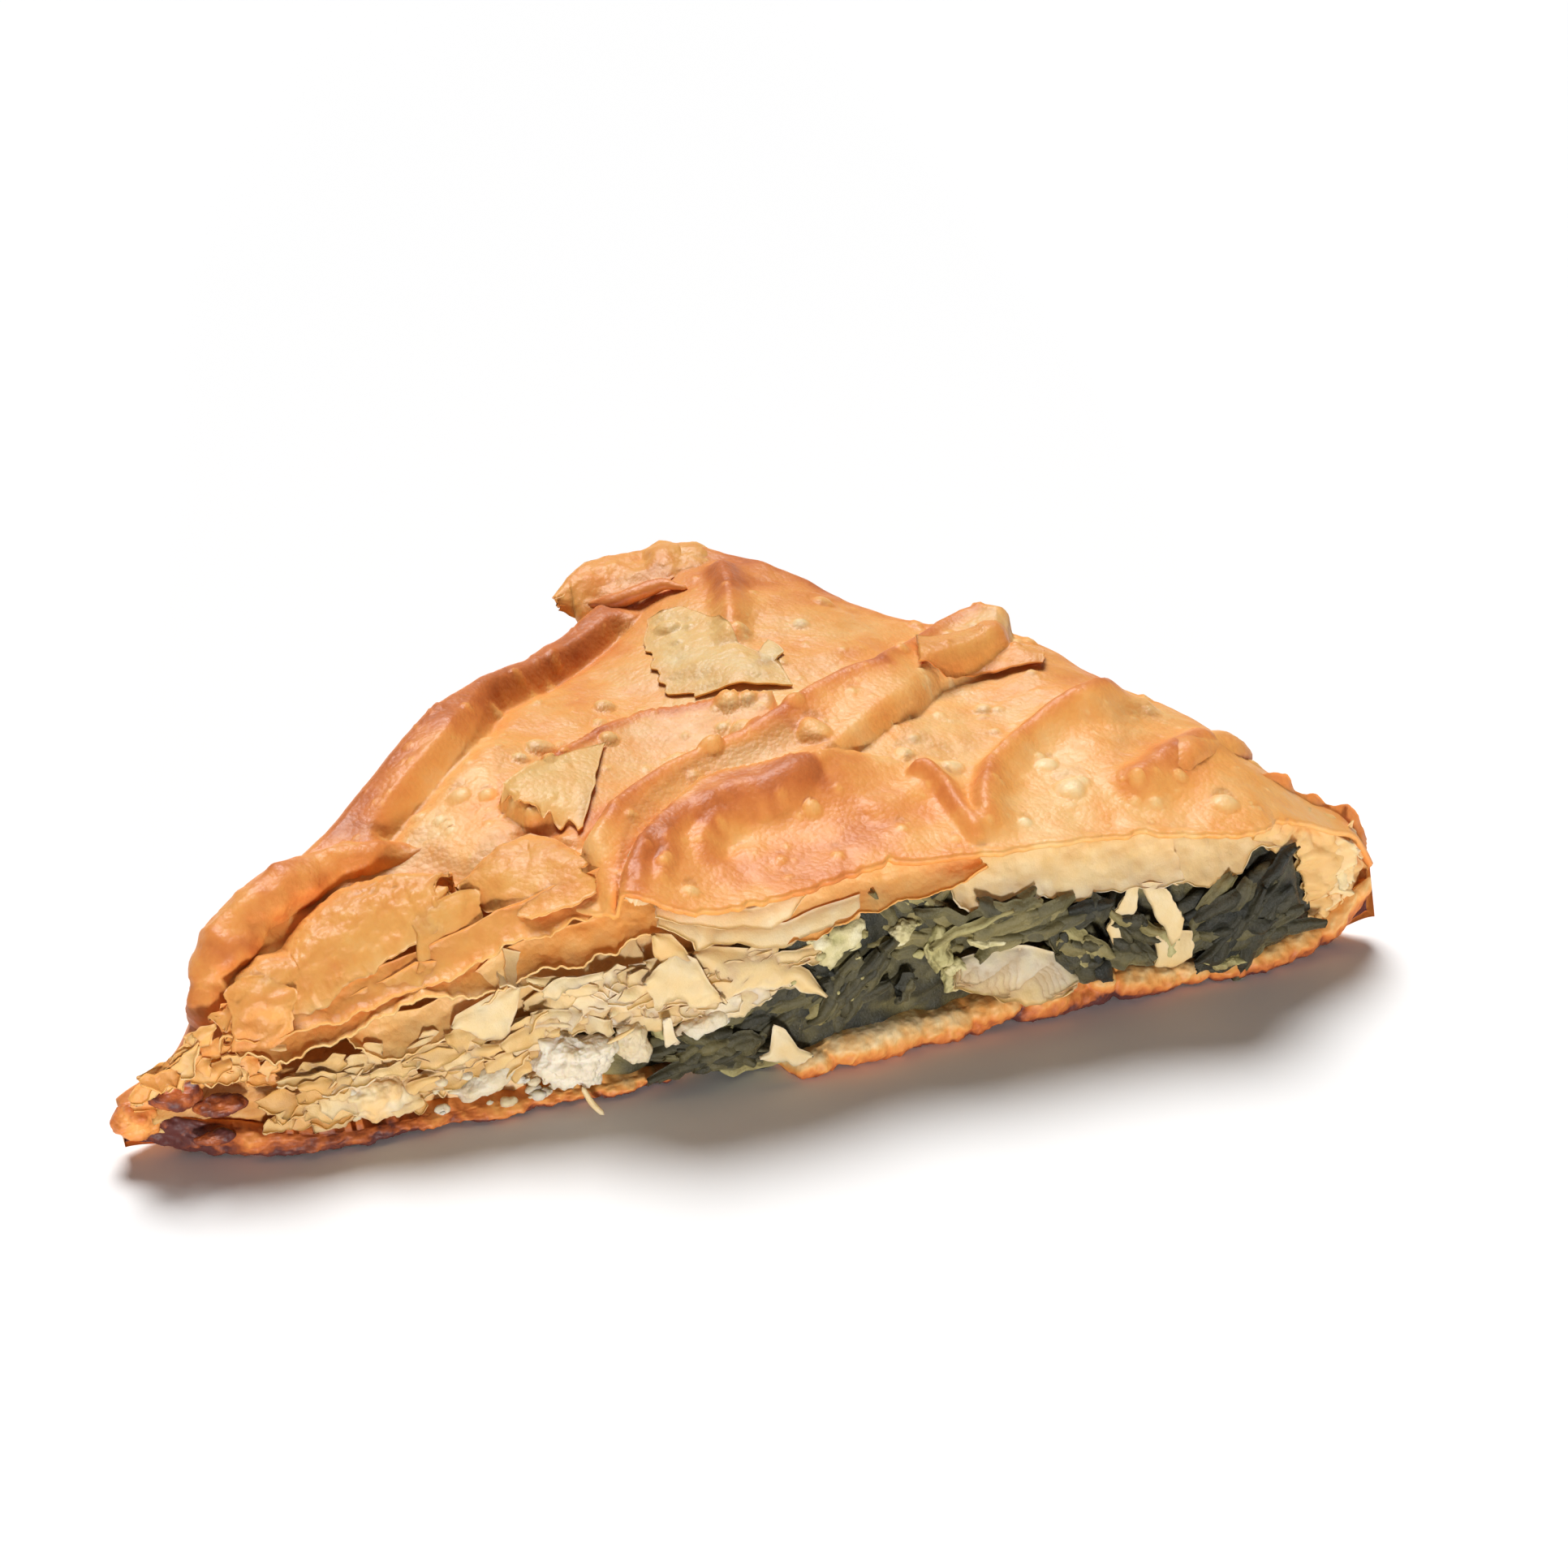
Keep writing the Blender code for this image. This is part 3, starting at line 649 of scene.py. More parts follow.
def laid(low, high, seed, lift=0.5, torn=0.6, bake=0.3, bow=0.2, thick=0.3, step=0.45):
    """A thin flake lying on the folded top between two lines given as (x, y)."""
    n = int(max(length_of(low), length_of(high)) / step) + 6
    low = resample(low, n)
    high = resample(high, n)
    m = int(np.linalg.norm(low - high, axis=1).mean() / step) + 6
    v = np.linspace(0, 1, m)[None, :]
    u = np.arange(n) * step
    spots = high[:, None] * (1 - v)[..., None] + low[:, None] * v[..., None]
    tear = 0.07 * torn * v**3 * cloud(u, seed, 0, 3.2, 2)[:, None]
    spots = spots + (low - high)[:, None] * tear[..., None]
    ends = 0.4 * torn * cloud(np.linspace(0, 12, m), seed, 2, 4.0, 2)[None, :]
    near_ends = ease(2.5, 0, u)[:, None] + ease(2.5, 0, u[-1] - u)[:, None]
    spots[..., 0] += ends * near_ends
    x, y = spots[..., 0], spots[..., 1]
    arch = bow * np.sin(np.pi * v) + 0.12 * cloud(x, y, seed, 4, 3)
    grid = np.stack([x, y, top_height(x, y) + lift + arch], -1)
    if normals_of(grid)[..., 2].mean() < 0:
        grid = grid[::-1]
    tone = bake + 0.1 * v**8 + 0.08 * cloud(x, y, seed, 4, 3)
    return slab(grid, thick, np.clip(tone, 0, 1))


def plate(outline, y_high, y_low, seed, **kind):
    """A sheet cut to an outline given as (x, z), leaning from y_high at its top to y_low below."""
    points = list(outline)
    left = min(range(len(points)), key=lambda i: points[i][0])
    points = points[left:] + points[:left]
    right = max(range(len(points)), key=lambda i: points[i][0])
    one = points[:right + 1]
    two = [points[0]] + points[:right - 1:-1]
    upper, lower = (one, two) if np.mean([p[1] for p in one]) > np.mean([p[1] for p in two]) else (two, one)
    tall = max(p[1] for p in points)
    deep = max(0.1, tall - min(p[1] for p in points))

    def lean(chain):
        return [(x, y_low + (y_high - y_low) * (1 - (tall - z) / deep), z) for x, z in chain]

    return sheet(lean(lower), lean(upper), seed, **kind)


def ball_mesh(n):
    """Unit directions and quads of a cube blown up to a ball, n squares along each edge."""
    spots = np.tan(np.linspace(-1, 1, n + 1) * np.pi / 4)
    a, b = np.meshgrid(spots, spots, indexing="ij")
    one = np.ones_like(a)
    sides = [(one, a, b), (-one, b, a), (b, one, a), (a, -one, b), (a, b, one), (b, a, -one)]
    points = np.concatenate([np.stack(s, -1).reshape(-1, 3) for s in sides])
    quads = np.concatenate([grid_faces(n + 1, n + 1, k * (n + 1) ** 2) for k in range(6)])
    _, first, index = np.unique(np.round(points, 6), axis=0, return_index=True, return_inverse=True)
    points = points[first]
    return points / np.linalg.norm(points, axis=1, keepdims=True), index.reshape(-1)[quads]


def blob(centre, size, seed, n=12, rough=0.25, grain=2.5, bake=0.1, vary=0.1, outline=None, ridged=0.0):
    """A rough lump; with an outline, given as (x, z), its front follows that line."""
    ways, quads = ball_mesh(n)
    scale = np.array(size, float)
    if outline is not None:
        points = resample(list(outline) + [outline[0]], 80)
        angles = np.arctan2(points[:, 1] - centre[2], points[:, 0] - centre[0])
        radii = np.hypot(points[:, 1] - centre[2], points[:, 0] - centre[0])
        order = np.argsort(angles)
        angle = np.arctan2(ways[:, 2], ways[:, 0])
        radius = np.interp(angle, angles[order], radii[order], period=2 * np.pi)
        verts = np.stack([ways[:, 0] * radius, ways[:, 1] * scale[1], ways[:, 2] * radius], 1)
    else:
        verts = ways * scale
    verts = verts + np.array(centre, float)
    x, y, z = verts.T
    push = rough * cloud(x + seed, y, z, grain, 4)
    push = push + ridged * (creases(x * 0.6 + seed, y * 0.6, z, grain, 3) - 0.55)
    verts = verts + ways * push[:, None]
    tone = bake + vary * cloud(x, y, z + seed, 3, 3) + 0.25 * push
    return verts, quads, np.clip(tone, 0, 1)


def tube(line, radii, seed, sides=18, rough=0.2, bake=0.5, vary=0.1, flat=1.0, step=0.4):
    """A closed roll along a line in space with a radius at each of its points."""
    n = int(max(10, length_of(line) / step))
    path = resample(line, n)
    for _ in range(6):
        path[1:-1] = (path[:-2] + 2 * path[1:-1] + path[2:]) / 4
    radius = np.interp(np.linspace(0, 1, n), np.linspace(0, 1, len(radii)), radii)
    cap = np.sqrt(np.clip(1 - np.linspace(-1, 1, n) ** 30, 0.02, 1))
    forward = np.gradient(path, axis=0)
    forward /= np.linalg.norm(forward, axis=1, keepdims=True)
    aside = np.cross(forward, [0, 0, 1.0])
    aside /= np.maximum(np.linalg.norm(aside, axis=1, keepdims=True), 1e-6)
    upward = np.cross(aside, forward)
    angle = np.linspace(0, 2 * np.pi, sides, endpoint=False)
    ring = np.cos(angle)[None, :, None] * aside[:, None]
    ring = ring + flat * np.sin(angle)[None, :, None] * upward[:, None]
    spots = path[:, None] + ring * (radius * cap)[:, None, None]
    x, y, z = spots[..., 0], spots[..., 1], spots[..., 2]
    push = rough * (cloud(x + seed, y, z, 8, 3) + 1.4 * creases(x * 0.35, y * 0.6 + seed, z, 5, 2) - 0.8)
    spots = spots + ring * (push * np.minimum(1, radius)[:, None])[..., None]
    tone = np.clip(bake + vary * cloud(x, y, z + seed, 4, 3) + 0.1 * push, 0, 1)
    i, j = np.meshgrid(np.arange(n - 1), np.arange(sides), indexing="ij")
    a = (i * sides + j).ravel()
    b = (i * sides + (j + 1) % sides).ravel()
    quads = [np.stack([a, b, b + sides, a + sides], 1)]
    last = (n - 1) * sides
    for k in range(1, sides - 2, 2):
        quads.append(np.array([[0, k + 2, k + 1, k], [last, last + k, last + k + 1, last + k + 2]]))
    return spots.reshape(-1, 3), np.concatenate(quads), tone.reshape(-1)


def wall_laps(x, down):
    """Overlapping sheets of the outer walls: how far they stand out, and where their browned lips are."""
    lap = 0.0
    lip = 0.0
    for k, level in enumerate((0.24, 0.45, 0.72, 0.88)):
        below = down - level - 0.16 * noise(x, 7.3 * k, 0.0, 34) - 0.03 * noise(x, 5.0 * k, 1.0, 6)
        here = ease(-0.25, 0.25, noise(x, 9.1 * k, 2.0, 24))
        lap = lap + 0.9 * here * (ease(-0.2, 0.0, below) - ease(0.0, 0.04, below))
        lip = lip + here * bell(np.minimum(below, 0), 0.06) * ease(0.04, 0.0, below)
    return lap, lip


def shell_sections(stations):
    """Points of the top, rim and outer walls: one row per distance along the cut, front edge first."""
    top_count, rim_count, wall_count = 158, 10, 40
    x = np.repeat(stations[:, None], top_count, 1)
    tear = 0.7 * cloud(stations, 3.0, 0.0, 3.0, 4) + 0.5 * noise(stations, 9.0, 0.0, 9.0)
    tear = tear + 0.25 * noise(stations, 4.0, 2.0, 1.1)
    front = curve(TOP_EDGE_Y, stations) + tear * ease(8, 30, stations) * ease(172, 160, stations)
    front = front - 1.3 * ease(103, 110, stations) * ease(160, 153, stations)
    back = curve(BACK_EDGE_Y, stations) + 0.5 * noise(stations, 1, 1, 7)
    wall_top = curve(WALL_TOP_Z, stations)
    radius = np.minimum(RIM_RADIUS, np.minimum(0.4 * wall_top, 0.3 * (back - front)))
    share = np.linspace(0, 1, top_count)[None, :]
    y = front[:, None] + (back - radius - front)[:, None] * share
    z = top_height(x, y)
    top = np.stack([x, y, z], -1)

    end_z = z[:, -1]
    turn = np.linspace(0, np.pi / 2, rim_count + 1)[None, 1:]
    rim_y = (back - radius)[:, None] + radius[:, None] * np.sin(turn)
    rim_z = end_z[:, None] - radius[:, None] * (1 - np.cos(turn))
    rim = np.stack([np.repeat(stations[:, None], rim_count, 1), rim_y, rim_z], -1)

    down = np.linspace(0, 1, wall_count + 1)[None, 1:]
    wall_z = (end_z - radius)[:, None] * (1 - down) + 0.4 * down
    wall_y = back[:, None] - (0.5 * radius)[:, None] * down**2
    wrinkle = creases(stations[:, None] * 0.5, wall_z * 0.9, 5.0, 8.0) - 0.6
    lap, lip = wall_laps(stations[:, None], down)
    depth = np.minimum(1.0, (back - front)[:, None] / 20)
    swell = (1.2 * wrinkle + lap) * np.sin(np.pi * down) ** 0.4
    wall_y = wall_y + depth * swell - 0.9 - 1.4 * ease(0.85, 1.0, down)
    wall = np.stack([np.repeat(stations[:, None], wall_count, 1), wall_y, wall_z], -1)

    under_y = front[:, None] + np.array([3.0, 1.2, 0.15])
    under_z = z[:, :1] - np.array([0.7, 0.6, 0.5])
    under = np.stack([np.repeat(stations[:, None], 3, 1), under_y, under_z], -1)
    foot = wall[:, -1:] - np.array([0.0, 2.0, 0.0])
    grid = np.concatenate([under, top, rim, wall, foot], 1)
    grid[..., 2] += end_lift(stations)[:, None]
    bake_top = top_bake(x, y)
    bake_side = 0.47 + 0.16 * noise(stations[:, None], wall_z, 0, 12)
    bake_side = bake_side + 0.08 * cloud(stations[:, None], wall_z, 4, 4) + 0.16 * down**3
    bake_side = bake_side + 0.14 * lip + 0.12 * wrinkle
    bake_rim = bake_top[:, -1:] + (bake_side[:, :1] - bake_top[:, -1:]) * np.sin(turn) ** 2
    bake_under = np.repeat(bake_top[:, :1], 3, 1)
    bake = np.concatenate([bake_under, bake_top, bake_rim, bake_side, bake_side[:, -1:]], 1)
    return grid, bake


def end_lift(x):
    """How far the two ends of the piece curl up off the table."""
    thin = THIN_END_LIFT * (1 - ease(0, THIN_END_REACH, x))
    return thin + THICK_END_LIFT * (1 - ease(0, THICK_END_REACH, CUT_LENGTH - x))


def make_shell(skin):
    """The top filo with its folds, and the closed outer walls, down to the table."""
    grid, bake = shell_sections(np.linspace(END_GAP, CUT_LENGTH - END_GAP, 400))
    grid = grid + SKIN * normals_of(grid)
    middles = grid.mean(axis=1, keepdims=True)
    closed = middles + 0.02 * (grid - middles)
    grid = np.concatenate([closed[:1], grid, closed[-1:]])
    bake = np.concatenate([bake[:1], bake, bake[-1:]])
    pile = Pile("crust_shell")
    pile.add((grid.reshape(-1, 3), grid_faces(*bake.shape), bake.reshape(-1)))
    pile.finish(skin, ("pastry",))


def loft(rings, bake):
    """A closed solid through closed sections, shape (n, m, 3), with flat ends."""
    n, m, _ = rings.shape
    i, j = np.meshgrid(np.arange(n - 1), np.arange(m), indexing="ij")
    a = (i * m + j).ravel()
    b = (i * m + (j + 1) % m).ravel()
    quads = [np.stack([a, b, b + m, a + m], 1)]
    last = (n - 1) * m
    for k in range(1, m // 2 - 1):
        quads.append(np.array([[k, k + 1, m - k - 1, m - k]]))
        quads.append(last + np.array([[m - k, m - k - 1, k + 1, k]]))
    return rings.reshape(-1, 3), np.concatenate(quads), np.broadcast_to(bake, (n, m)).reshape(-1)


def make_core(skin):
    """The pale layers behind the cut, from the base to just under the top."""
    rows = 44
    floor = 1.0
    stations = np.linspace(4, 174, 340)
    face = curve(BASE_EDGE_Y, stations)
    back = curve(BACK_EDGE_Y, stations) - 3.0
    behind = np.maximum(face, curve(TOP_EDGE_Y, stations))
    share = np.linspace(0, 1, rows)[None, :]
    roof_y = np.minimum(behind + 7.5, 0.5 * (behind + back))
    roof = top_height(stations, roof_y) - 1.2
    z = floor + (roof - floor)[:, None] * share
    y = (face + np.minimum(4.0, 0.3 * (back - face)))[:, None] + (roof_y - face - 4.0)[:, None] * share**2
    x = np.repeat(stations[:, None], rows, 1)
    layers = creases(x * 0.25, y * 0.3, z * 1.5 + 0.8 * noise(x, 0, z, 12), 3.0, 3)
    front = np.stack([x, y + 2.0 * (0.6 - layers) + 0.8 * noise(x, y, z, 6), z], -1)
    # 0.30 * (0.65 - layers) is painted shade: the recessed valleys between the layers are darker, and the
    # forward ridges paler.
    bake = 0.16 + 0.10 * noise(x, z, 3, 12) + 0.30 * (0.65 - layers) + 0.22 * ease(46, 22, x)
    bake = bake + 0.22 * cloud(x, y, z, 4, 3) * ease(50, 30, x) + 0.15 * ease(10, 4, z) * ease(50, 30, x)
    deep = np.stack([x[:, ::-1], np.maximum(y[:, ::-1], back[:, None] - 1.0), z[:, ::-1] - 1.0], -1)
    deep[..., 2] = np.clip(deep[..., 2], floor, (top_height(stations, back - 1.0) - 4.5)[:, None])
    rings = np.concatenate([front, deep], 1)
    rings[..., 2] += end_lift(stations)[:, None]
    pile = Pile("inner_layers")
    pile.add(loft(rings, np.concatenate([bake, bake[:, ::-1]], 1)))
    pile.finish(skin)


CRUST_HEIGHT = [
    (0, 4.5), (8, 5.6), (18, 4.4), (28, 3.0), (42, 2.3), (60, 2.4), (74, 2.2), (77, 1.2), (87, 1.2),
    (90, 2.6), (96, 4.6), (112, 4.4), (128, 5.0), (140, 4.6), (150, 3.4), (160, 3.4), (170, 4.6), (177, 6),
]
CRUST_SETBACK = [(0, 0), (72, 0), (76, 3.4), (87, 3.4), (90, 0), (178, 0)]

# Burnt places under the cut: x, width, strength
BURNT_PLACES = [(33.5, 4.5, 1.0), (59, 8, 1.0), (133, 6, 0.9), (45, 3, 0.6), (70, 3, 0.5)]


def make_base(skin):
    """The bottom crust: bubbled and browned along the cut, flat underneath."""
    front_rows, top_rows = 30, 12
    stations = np.linspace(0.6, CUT_LENGTH - 0.8, 560)
    face = curve(BASE_EDGE_Y, stations) + curve(CRUST_SETBACK, stations)
    back = curve(BACK_EDGE_Y, stations) - 1.5
    tall = curve(CRUST_HEIGHT, stations)
    turn = np.linspace(-np.pi / 2, np.pi / 2, front_rows)[None, :]
    bulge = np.minimum(2.0, 0.25 * (back - face))
    y = (face + bulge)[:, None] - bulge[:, None] * np.cos(turn) ** 0.8
    z = (tall / 2)[:, None] * (1 + np.sin(turn))
    x = np.repeat(stations[:, None], front_rows, 1)
    rng = np.random.default_rng(17)
    puffs = np.zeros_like(x)
    for _ in range(110):
        cx = rng.uniform(1, 177)
        big = 0.55 + 0.85 * float(ease(80, 96, cx))
        radius = big * rng.uniform(0.9, 2.6)
        cz = rng.uniform(0.0, 0.9) * float(curve(CRUST_HEIGHT, cx))
        near = np.hypot((x - cx) * rng.uniform(0.7, 1.1), z - cz) / radius
        puffs = np.maximum(puffs, 0.55 * radius * np.sqrt(np.clip(1 - near**2, 0, 1)))
    crumbs = creases(x, y, z, 2.2, 3) - 0.6
    push = puffs - 0.9 + 0.6 * noise(x, y, z, 9) + 0.25 * cloud(x, y, z, 1.3, 3) + 0.7 * crumbs
    y = y - push * np.cos(turn) ** 0.5
    z = z + 0.4 * push * np.sin(turn)
    inner = np.linspace(0, 1, top_rows + 1)[None, 1:]
    top_y = y[:, -1:] + (back[:, None] - y[:, -1:]) * inner
    top_z = tall[:, None] * (1 - 0.25 * ease(0, 0.3, inner)) + 0.3 * noise(stations[:, None], top_y, 4, 3)
    top = np.stack([np.repeat(stations[:, None], top_rows, 1), top_y, top_z], -1)
    under = top[:, ::-1].copy()
    under[..., 2] = 0.0
    front = np.stack([x, y, np.maximum(z, 0.0)], -1)
    rings = np.concatenate([front, top, under[:, :-2]], 1)
    rings[..., 2] += end_lift(stations)[:, None]
    level = z / np.maximum(tall[:, None], 0.5)
    bake = 0.68 - 0.38 * ease(0.4, 0.9, level) * ease(10, 80, x) + 0.14 * noise(x, 0, z, 6)
    bake = bake + 0.16 * np.clip(0.6 - puffs, -0.6, 0.6) + 0.10 * cloud(x, y, z, 2.0, 3) - 0.2 * crumbs
    bake = bake + 0.16 * ease(60, 30, x) + 0.30 * ease(0.4, 0.0, level) + 0.10 * ease(16, 8, x)
    bake = bake + 0.16 * ease(96, 125, x)
    burnt = sum(strength * bell(x - bx, wide) for bx, wide, strength in BURNT_PLACES)
    bake = bake + 0.75 * burnt * ease(0.55, 0.1, level) * ease(-0.4, 0.3, noise(x, 5, z, 3))
    hidden = np.full((len(stations), rings.shape[1] - front_rows), 0.62)
    tones = np.concatenate([np.clip(bake, 0.05, 1), hidden], 1)
    pile = Pile("base_crust")
    pile.add(loft(rings, tones))
    pile.finish(skin)


SPINACH_FLOOR = [
    (0, 1.5), (60, 2.6), (74, 2.2), (78, 0.4), (87, 0.4), (91, 3), (104, 4), (128, 4.4), (140, 4.0),
    (152, 2.0), (163, 3.0), (178, 4),
]
SPINACH_ROOF = [
    (0, 3), (60, 10), (72, 15), (84, 20), (98, 24), (104, 25), (120, 22), (140, 21), (150, 20), (160, 19.5),
    (167, 16), (178, 8),
]

# Clumps of leaf: outline as (x, z), y, shade, turn of the strips, how many strips
SPINACH_CLUMPS = [
    ([(99, 19), (102.5, 22), (107, 22.5), (113.5, 23), (112.5, 20.5), (110.5, 20), (111.5, 13), (108, 12),
      (101.5, 16)], 2.8, 0.38, -0.5, 16),
    ([(111, 20.5), (116, 18.5), (121, 21), (128, 18), (129.5, 15.5), (130, 11.5), (121, 14), (114, 15),
      (111, 18)], 0.8, 0.40, 0.05, 22),
    ([(129, 17.5), (132, 18), (136, 18), (135.5, 16), (132, 15.5), (129.5, 15.5)], 0.6, 0.06, 0.15, 5),
    ([(125.5, 12), (130, 12.5), (132.5, 14), (135, 10), (135, 6.5), (130.5, 6), (128, 10)],
     0.4, 0.18, -0.9, 14),
    ([(89.5, 10.5), (95.5, 14), (99, 15), (102.5, 12.5), (99.5, 9), (96.5, 8), (91, 6)], 0.6, 0.20, 0.6, 16),
    ([(103.5, 10.5), (106, 12), (107, 10), (104.5, 9)], 0.0, 0.15, 0.6, 3),
    ([(136, 13), (138.5, 15.5), (141, 12), (142, 8), (137, 6.5), (136, 10)], 1.0, 0.18, -0.8, 12),
    ([(146, 12.5), (149, 14.5), (154.5, 14.5), (159, 17), (163, 17.5), (164, 13.5), (166, 6), (162, 3.5),
      (157, 2.4), (152.5, 3), (147.5, 9)], 2.8, 0.10, 0.5, 36),
    ([(79, 11.5), (83.5, 13), (89, 12.5), (93, 12), (97, 13), (98.5, 11.5), (95, 6.5), (90, 5), (87.5, 7),
      (85.5, 4), (81.5, 8.5)], 1.2, 0.22, 0.4, 22),
    ([(70, 4), (73, 3.5), (77, 4), (81, 3.2), (84.5, 2.2), (87, 3.5), (83, 6.5), (75.5, 7.5), (70, 7.5)],
     0.4, 0.2, 0.1, 12),
    ([(74, 3), (80, 1.6), (87, 1.4), (88, 4), (80, 4.8), (74, 4.6)], 0.8, 0.24, 0.05, 8),
    ([(88, 20), (93, 21), (96, 18), (94, 14), (91.5, 13), (90, 16)], 2.2, 0.1, -0.7, 6),
]

# Crumbles of cheese in the spinach: outline as (x, z), y, shade
CHEESE_CRUMBLE = [
    ([(91.5, 19), (93.5, 20.5), (99, 21), (101, 17), (97, 16.5), (95, 14), (92.5, 14)], 0.6, 0.86),
    ([(114, 15.5), (120, 15), (120, 14), (116, 13.5), (114, 14.5)], -0.2, 0.92),
    ([(70, 9.5), (75, 9.6), (81.5, 8), (84, 5), (80, 4.4), (74, 5.4), (70.5, 6.5)], 1.4, 0.62),
    ([(103, 18.5), (105, 20), (107, 19), (106, 17), (104, 16.5)], 0.2, 0.84),
    ([(108, 15), (110, 18), (112, 16), (112.5, 12), (110, 10)], 0.4, 0.70),
    ([(110.5, 11.5), (113, 12.5), (115.5, 10.5), (114, 8), (111, 7.5)], 0.0, 0.78),
    ([(142, 12), (145.5, 11), (147, 7), (145, 5), (142.5, 6.5)], 0.6, 0.62),
    ([(149.5, 4.2), (154, 4.6), (157, 3.4), (152, 2.4)], 1.2, 0.66),
]


def leaf(centre, reach, wide, turn, seed, tone):
    """A crumpled strip of cooked leaf."""
    rng = np.random.default_rng(seed)
    way = np.array([math.cos(turn), 0.0, math.sin(turn)])
    across = np.array([-math.sin(turn), 0.0, math.cos(turn)])
    spots = np.linspace(-0.5, 0.5, 7)
    mid = np.array(centre) + spots[:, None] * reach * way
    mid[:, 1] += rng.normal(0, 0.35, 7)
    mid[:, 2] += rng.normal(0, 0.25, 7)
    half = wide * np.sqrt(np.clip(1 - (1.9 * spots) ** 2, 0.06, 1)) / 2
    low = mid - across * half[:, None]
    high = mid + across * half[:, None] + np.array([0, rng.uniform(0.1, 0.9), 0])
    return sheet(low, high, seed, bow=rng.uniform(0.4, 1.1), torn=0.2, crumple=0.35, thick=0.3, bake=tone,
                 edge=0.08, step=0.5, wrinkle=0.2, ends=0.2, veins=0.9)


def make_spinach(skin):
    """A creased core, clumps of leaf strips before it, and crumbles of cheese."""
    rows = 28
    stations = np.linspace(58, 167.5, 160)
    share = np.linspace(0, 1, rows)[None, :]
    low = curve(SPINACH_FLOOR, stations)
    high = curve(SPINACH_ROOF, stations) - 1.0
    x = np.repeat(stations[:, None], rows, 1)
    z = low[:, None] + (high - low)[:, None] * share
    face = curve(BASE_EDGE_Y, stations) + 2.0
    warp = 1.6 * noise(x, 3, z, 7)
    wrinkles = creases(x * 0.7 + warp, 0, z * 1.6 + warp, 7.0, 3)
    y = face[:, None] + 2.2 * (1 - wrinkles) + 1.6 * noise(x, 8, z, 9) + 2.0 * share**4
    front = np.stack([x, y, z], -1)
    tone = 0.20 + 0.55 * (0.6 - wrinkles) + 0.10 * noise(x, 1, z, 4)
    tone = tone + 0.45 * ease(0.45, 0.9, noise(x, 12, z, 6)) + 0.3 * ease(74, 62, x)
    behind = np.stack([x[:, ::-1], np.maximum(y[:, ::-1], face[:, None] + 9), z[:, ::-1]], -1)
    pile = Pile("spinach")
    tones = np.clip(np.concatenate([tone, tone[:, ::-1]], 1), 0, 1)
    pile.add(loft(np.concatenate([front, behind], 1), tones))
    rng = np.random.default_rng(21)
    for k, (outline, depth, shade, turn, count) in enumerate(SPINACH_CLUMPS):
        middle = np.mean(outline, axis=0)
        pile.add(blob((middle[0], depth + 1.8, middle[1]), (1, 2.0, 1), 40 + k, n=18, rough=0.15, grain=6,
                      bake=shade, vary=0.14, outline=outline, ridged=0.9))
        spread = np.ptp(np.array(outline), axis=0)
        reach = float(np.clip(0.75 * spread.max(), 4, 11))
        for j in range(round(0.78 * count)):
            share = rng.dirichlet([1, 1, 1])
            corners = np.array(outline)[rng.choice(len(outline), 3, replace=False)]
            px, pz = 0.75 * (corners.T @ share) + 0.25 * middle
            centre = (px, depth + rng.uniform(-0.6, 0.4), pz)
            tone = np.clip(shade + rng.normal(0, 0.08) + 0.28 * (rng.random() < 0.16), 0.02, 0.62)
            pile.add(leaf(centre, reach * rng.uniform(0.6, 1.3), rng.uniform(1.3, 3.2),
                          turn + rng.normal(0, 0.35), 200 + 50 * k + j, tone))
    for k, (outline, depth, shade) in enumerate(CHEESE_CRUMBLE):
        cx, cz = np.mean(outline, axis=0)
        pile.add(blob((cx, depth + 1.2, cz), (1, 1.6, 1), 80 + k, n=22, rough=0.55, grain=2.2, bake=shade,
                      vary=0.12, outline=outline))
    for k in range(26):
        px = rng.uniform(76, 160)
        pz = rng.uniform(curve(SPINACH_FLOOR, px) + 1, curve(SPINACH_ROOF, px) - 3)
        size = rng.uniform(0.25, 0.7)
        middle = (px, float(curve(BASE_EDGE_Y, px)) + rng.uniform(1.6, 2.6), pz)
        pile.add(blob(middle, (size * 1.4, size, size), 300 + k, n=5, rough=0.35, grain=1.0,
                      bake=rng.uniform(0.5, 0.8)))
    pile.finish(skin, ("spinach_filling",))


FETA_FRONT = [
    (55, 11.5), (57, 12), (60, 11), (64.5, 10.5), (64.8, 8.5), (63, 6), (62, 3.4), (59.5, 3.6), (57, 4.2),
    (54.5, 5.6), (53, 8), (54, 10),
]
FETA_LEFT = [(42.5, 5), (46.5, 7.5), (50, 9), (52, 8.5), (51, 6), (48, 4.2), (44.5, 3.2)]
FETA_CHUNK = [(65, 11), (68, 11.5), (69, 10), (69.7, 7), (69, 5.5), (66.5, 5.6), (65, 7.5)]
FETA_CRUMB_LINE = [
    (72.5, 8.6), (74, 10), (76, 10.2), (77.5, 11.2), (79.8, 11), (81, 9.4), (77, 8), (75.5, 7.2), (74, 7.8),
]
GREENISH_CHUNK = [(28, 8), (29, 4.5), (32.5, 3), (37, 3.5), (38.5, 6), (35.5, 9), (31, 9.5)]


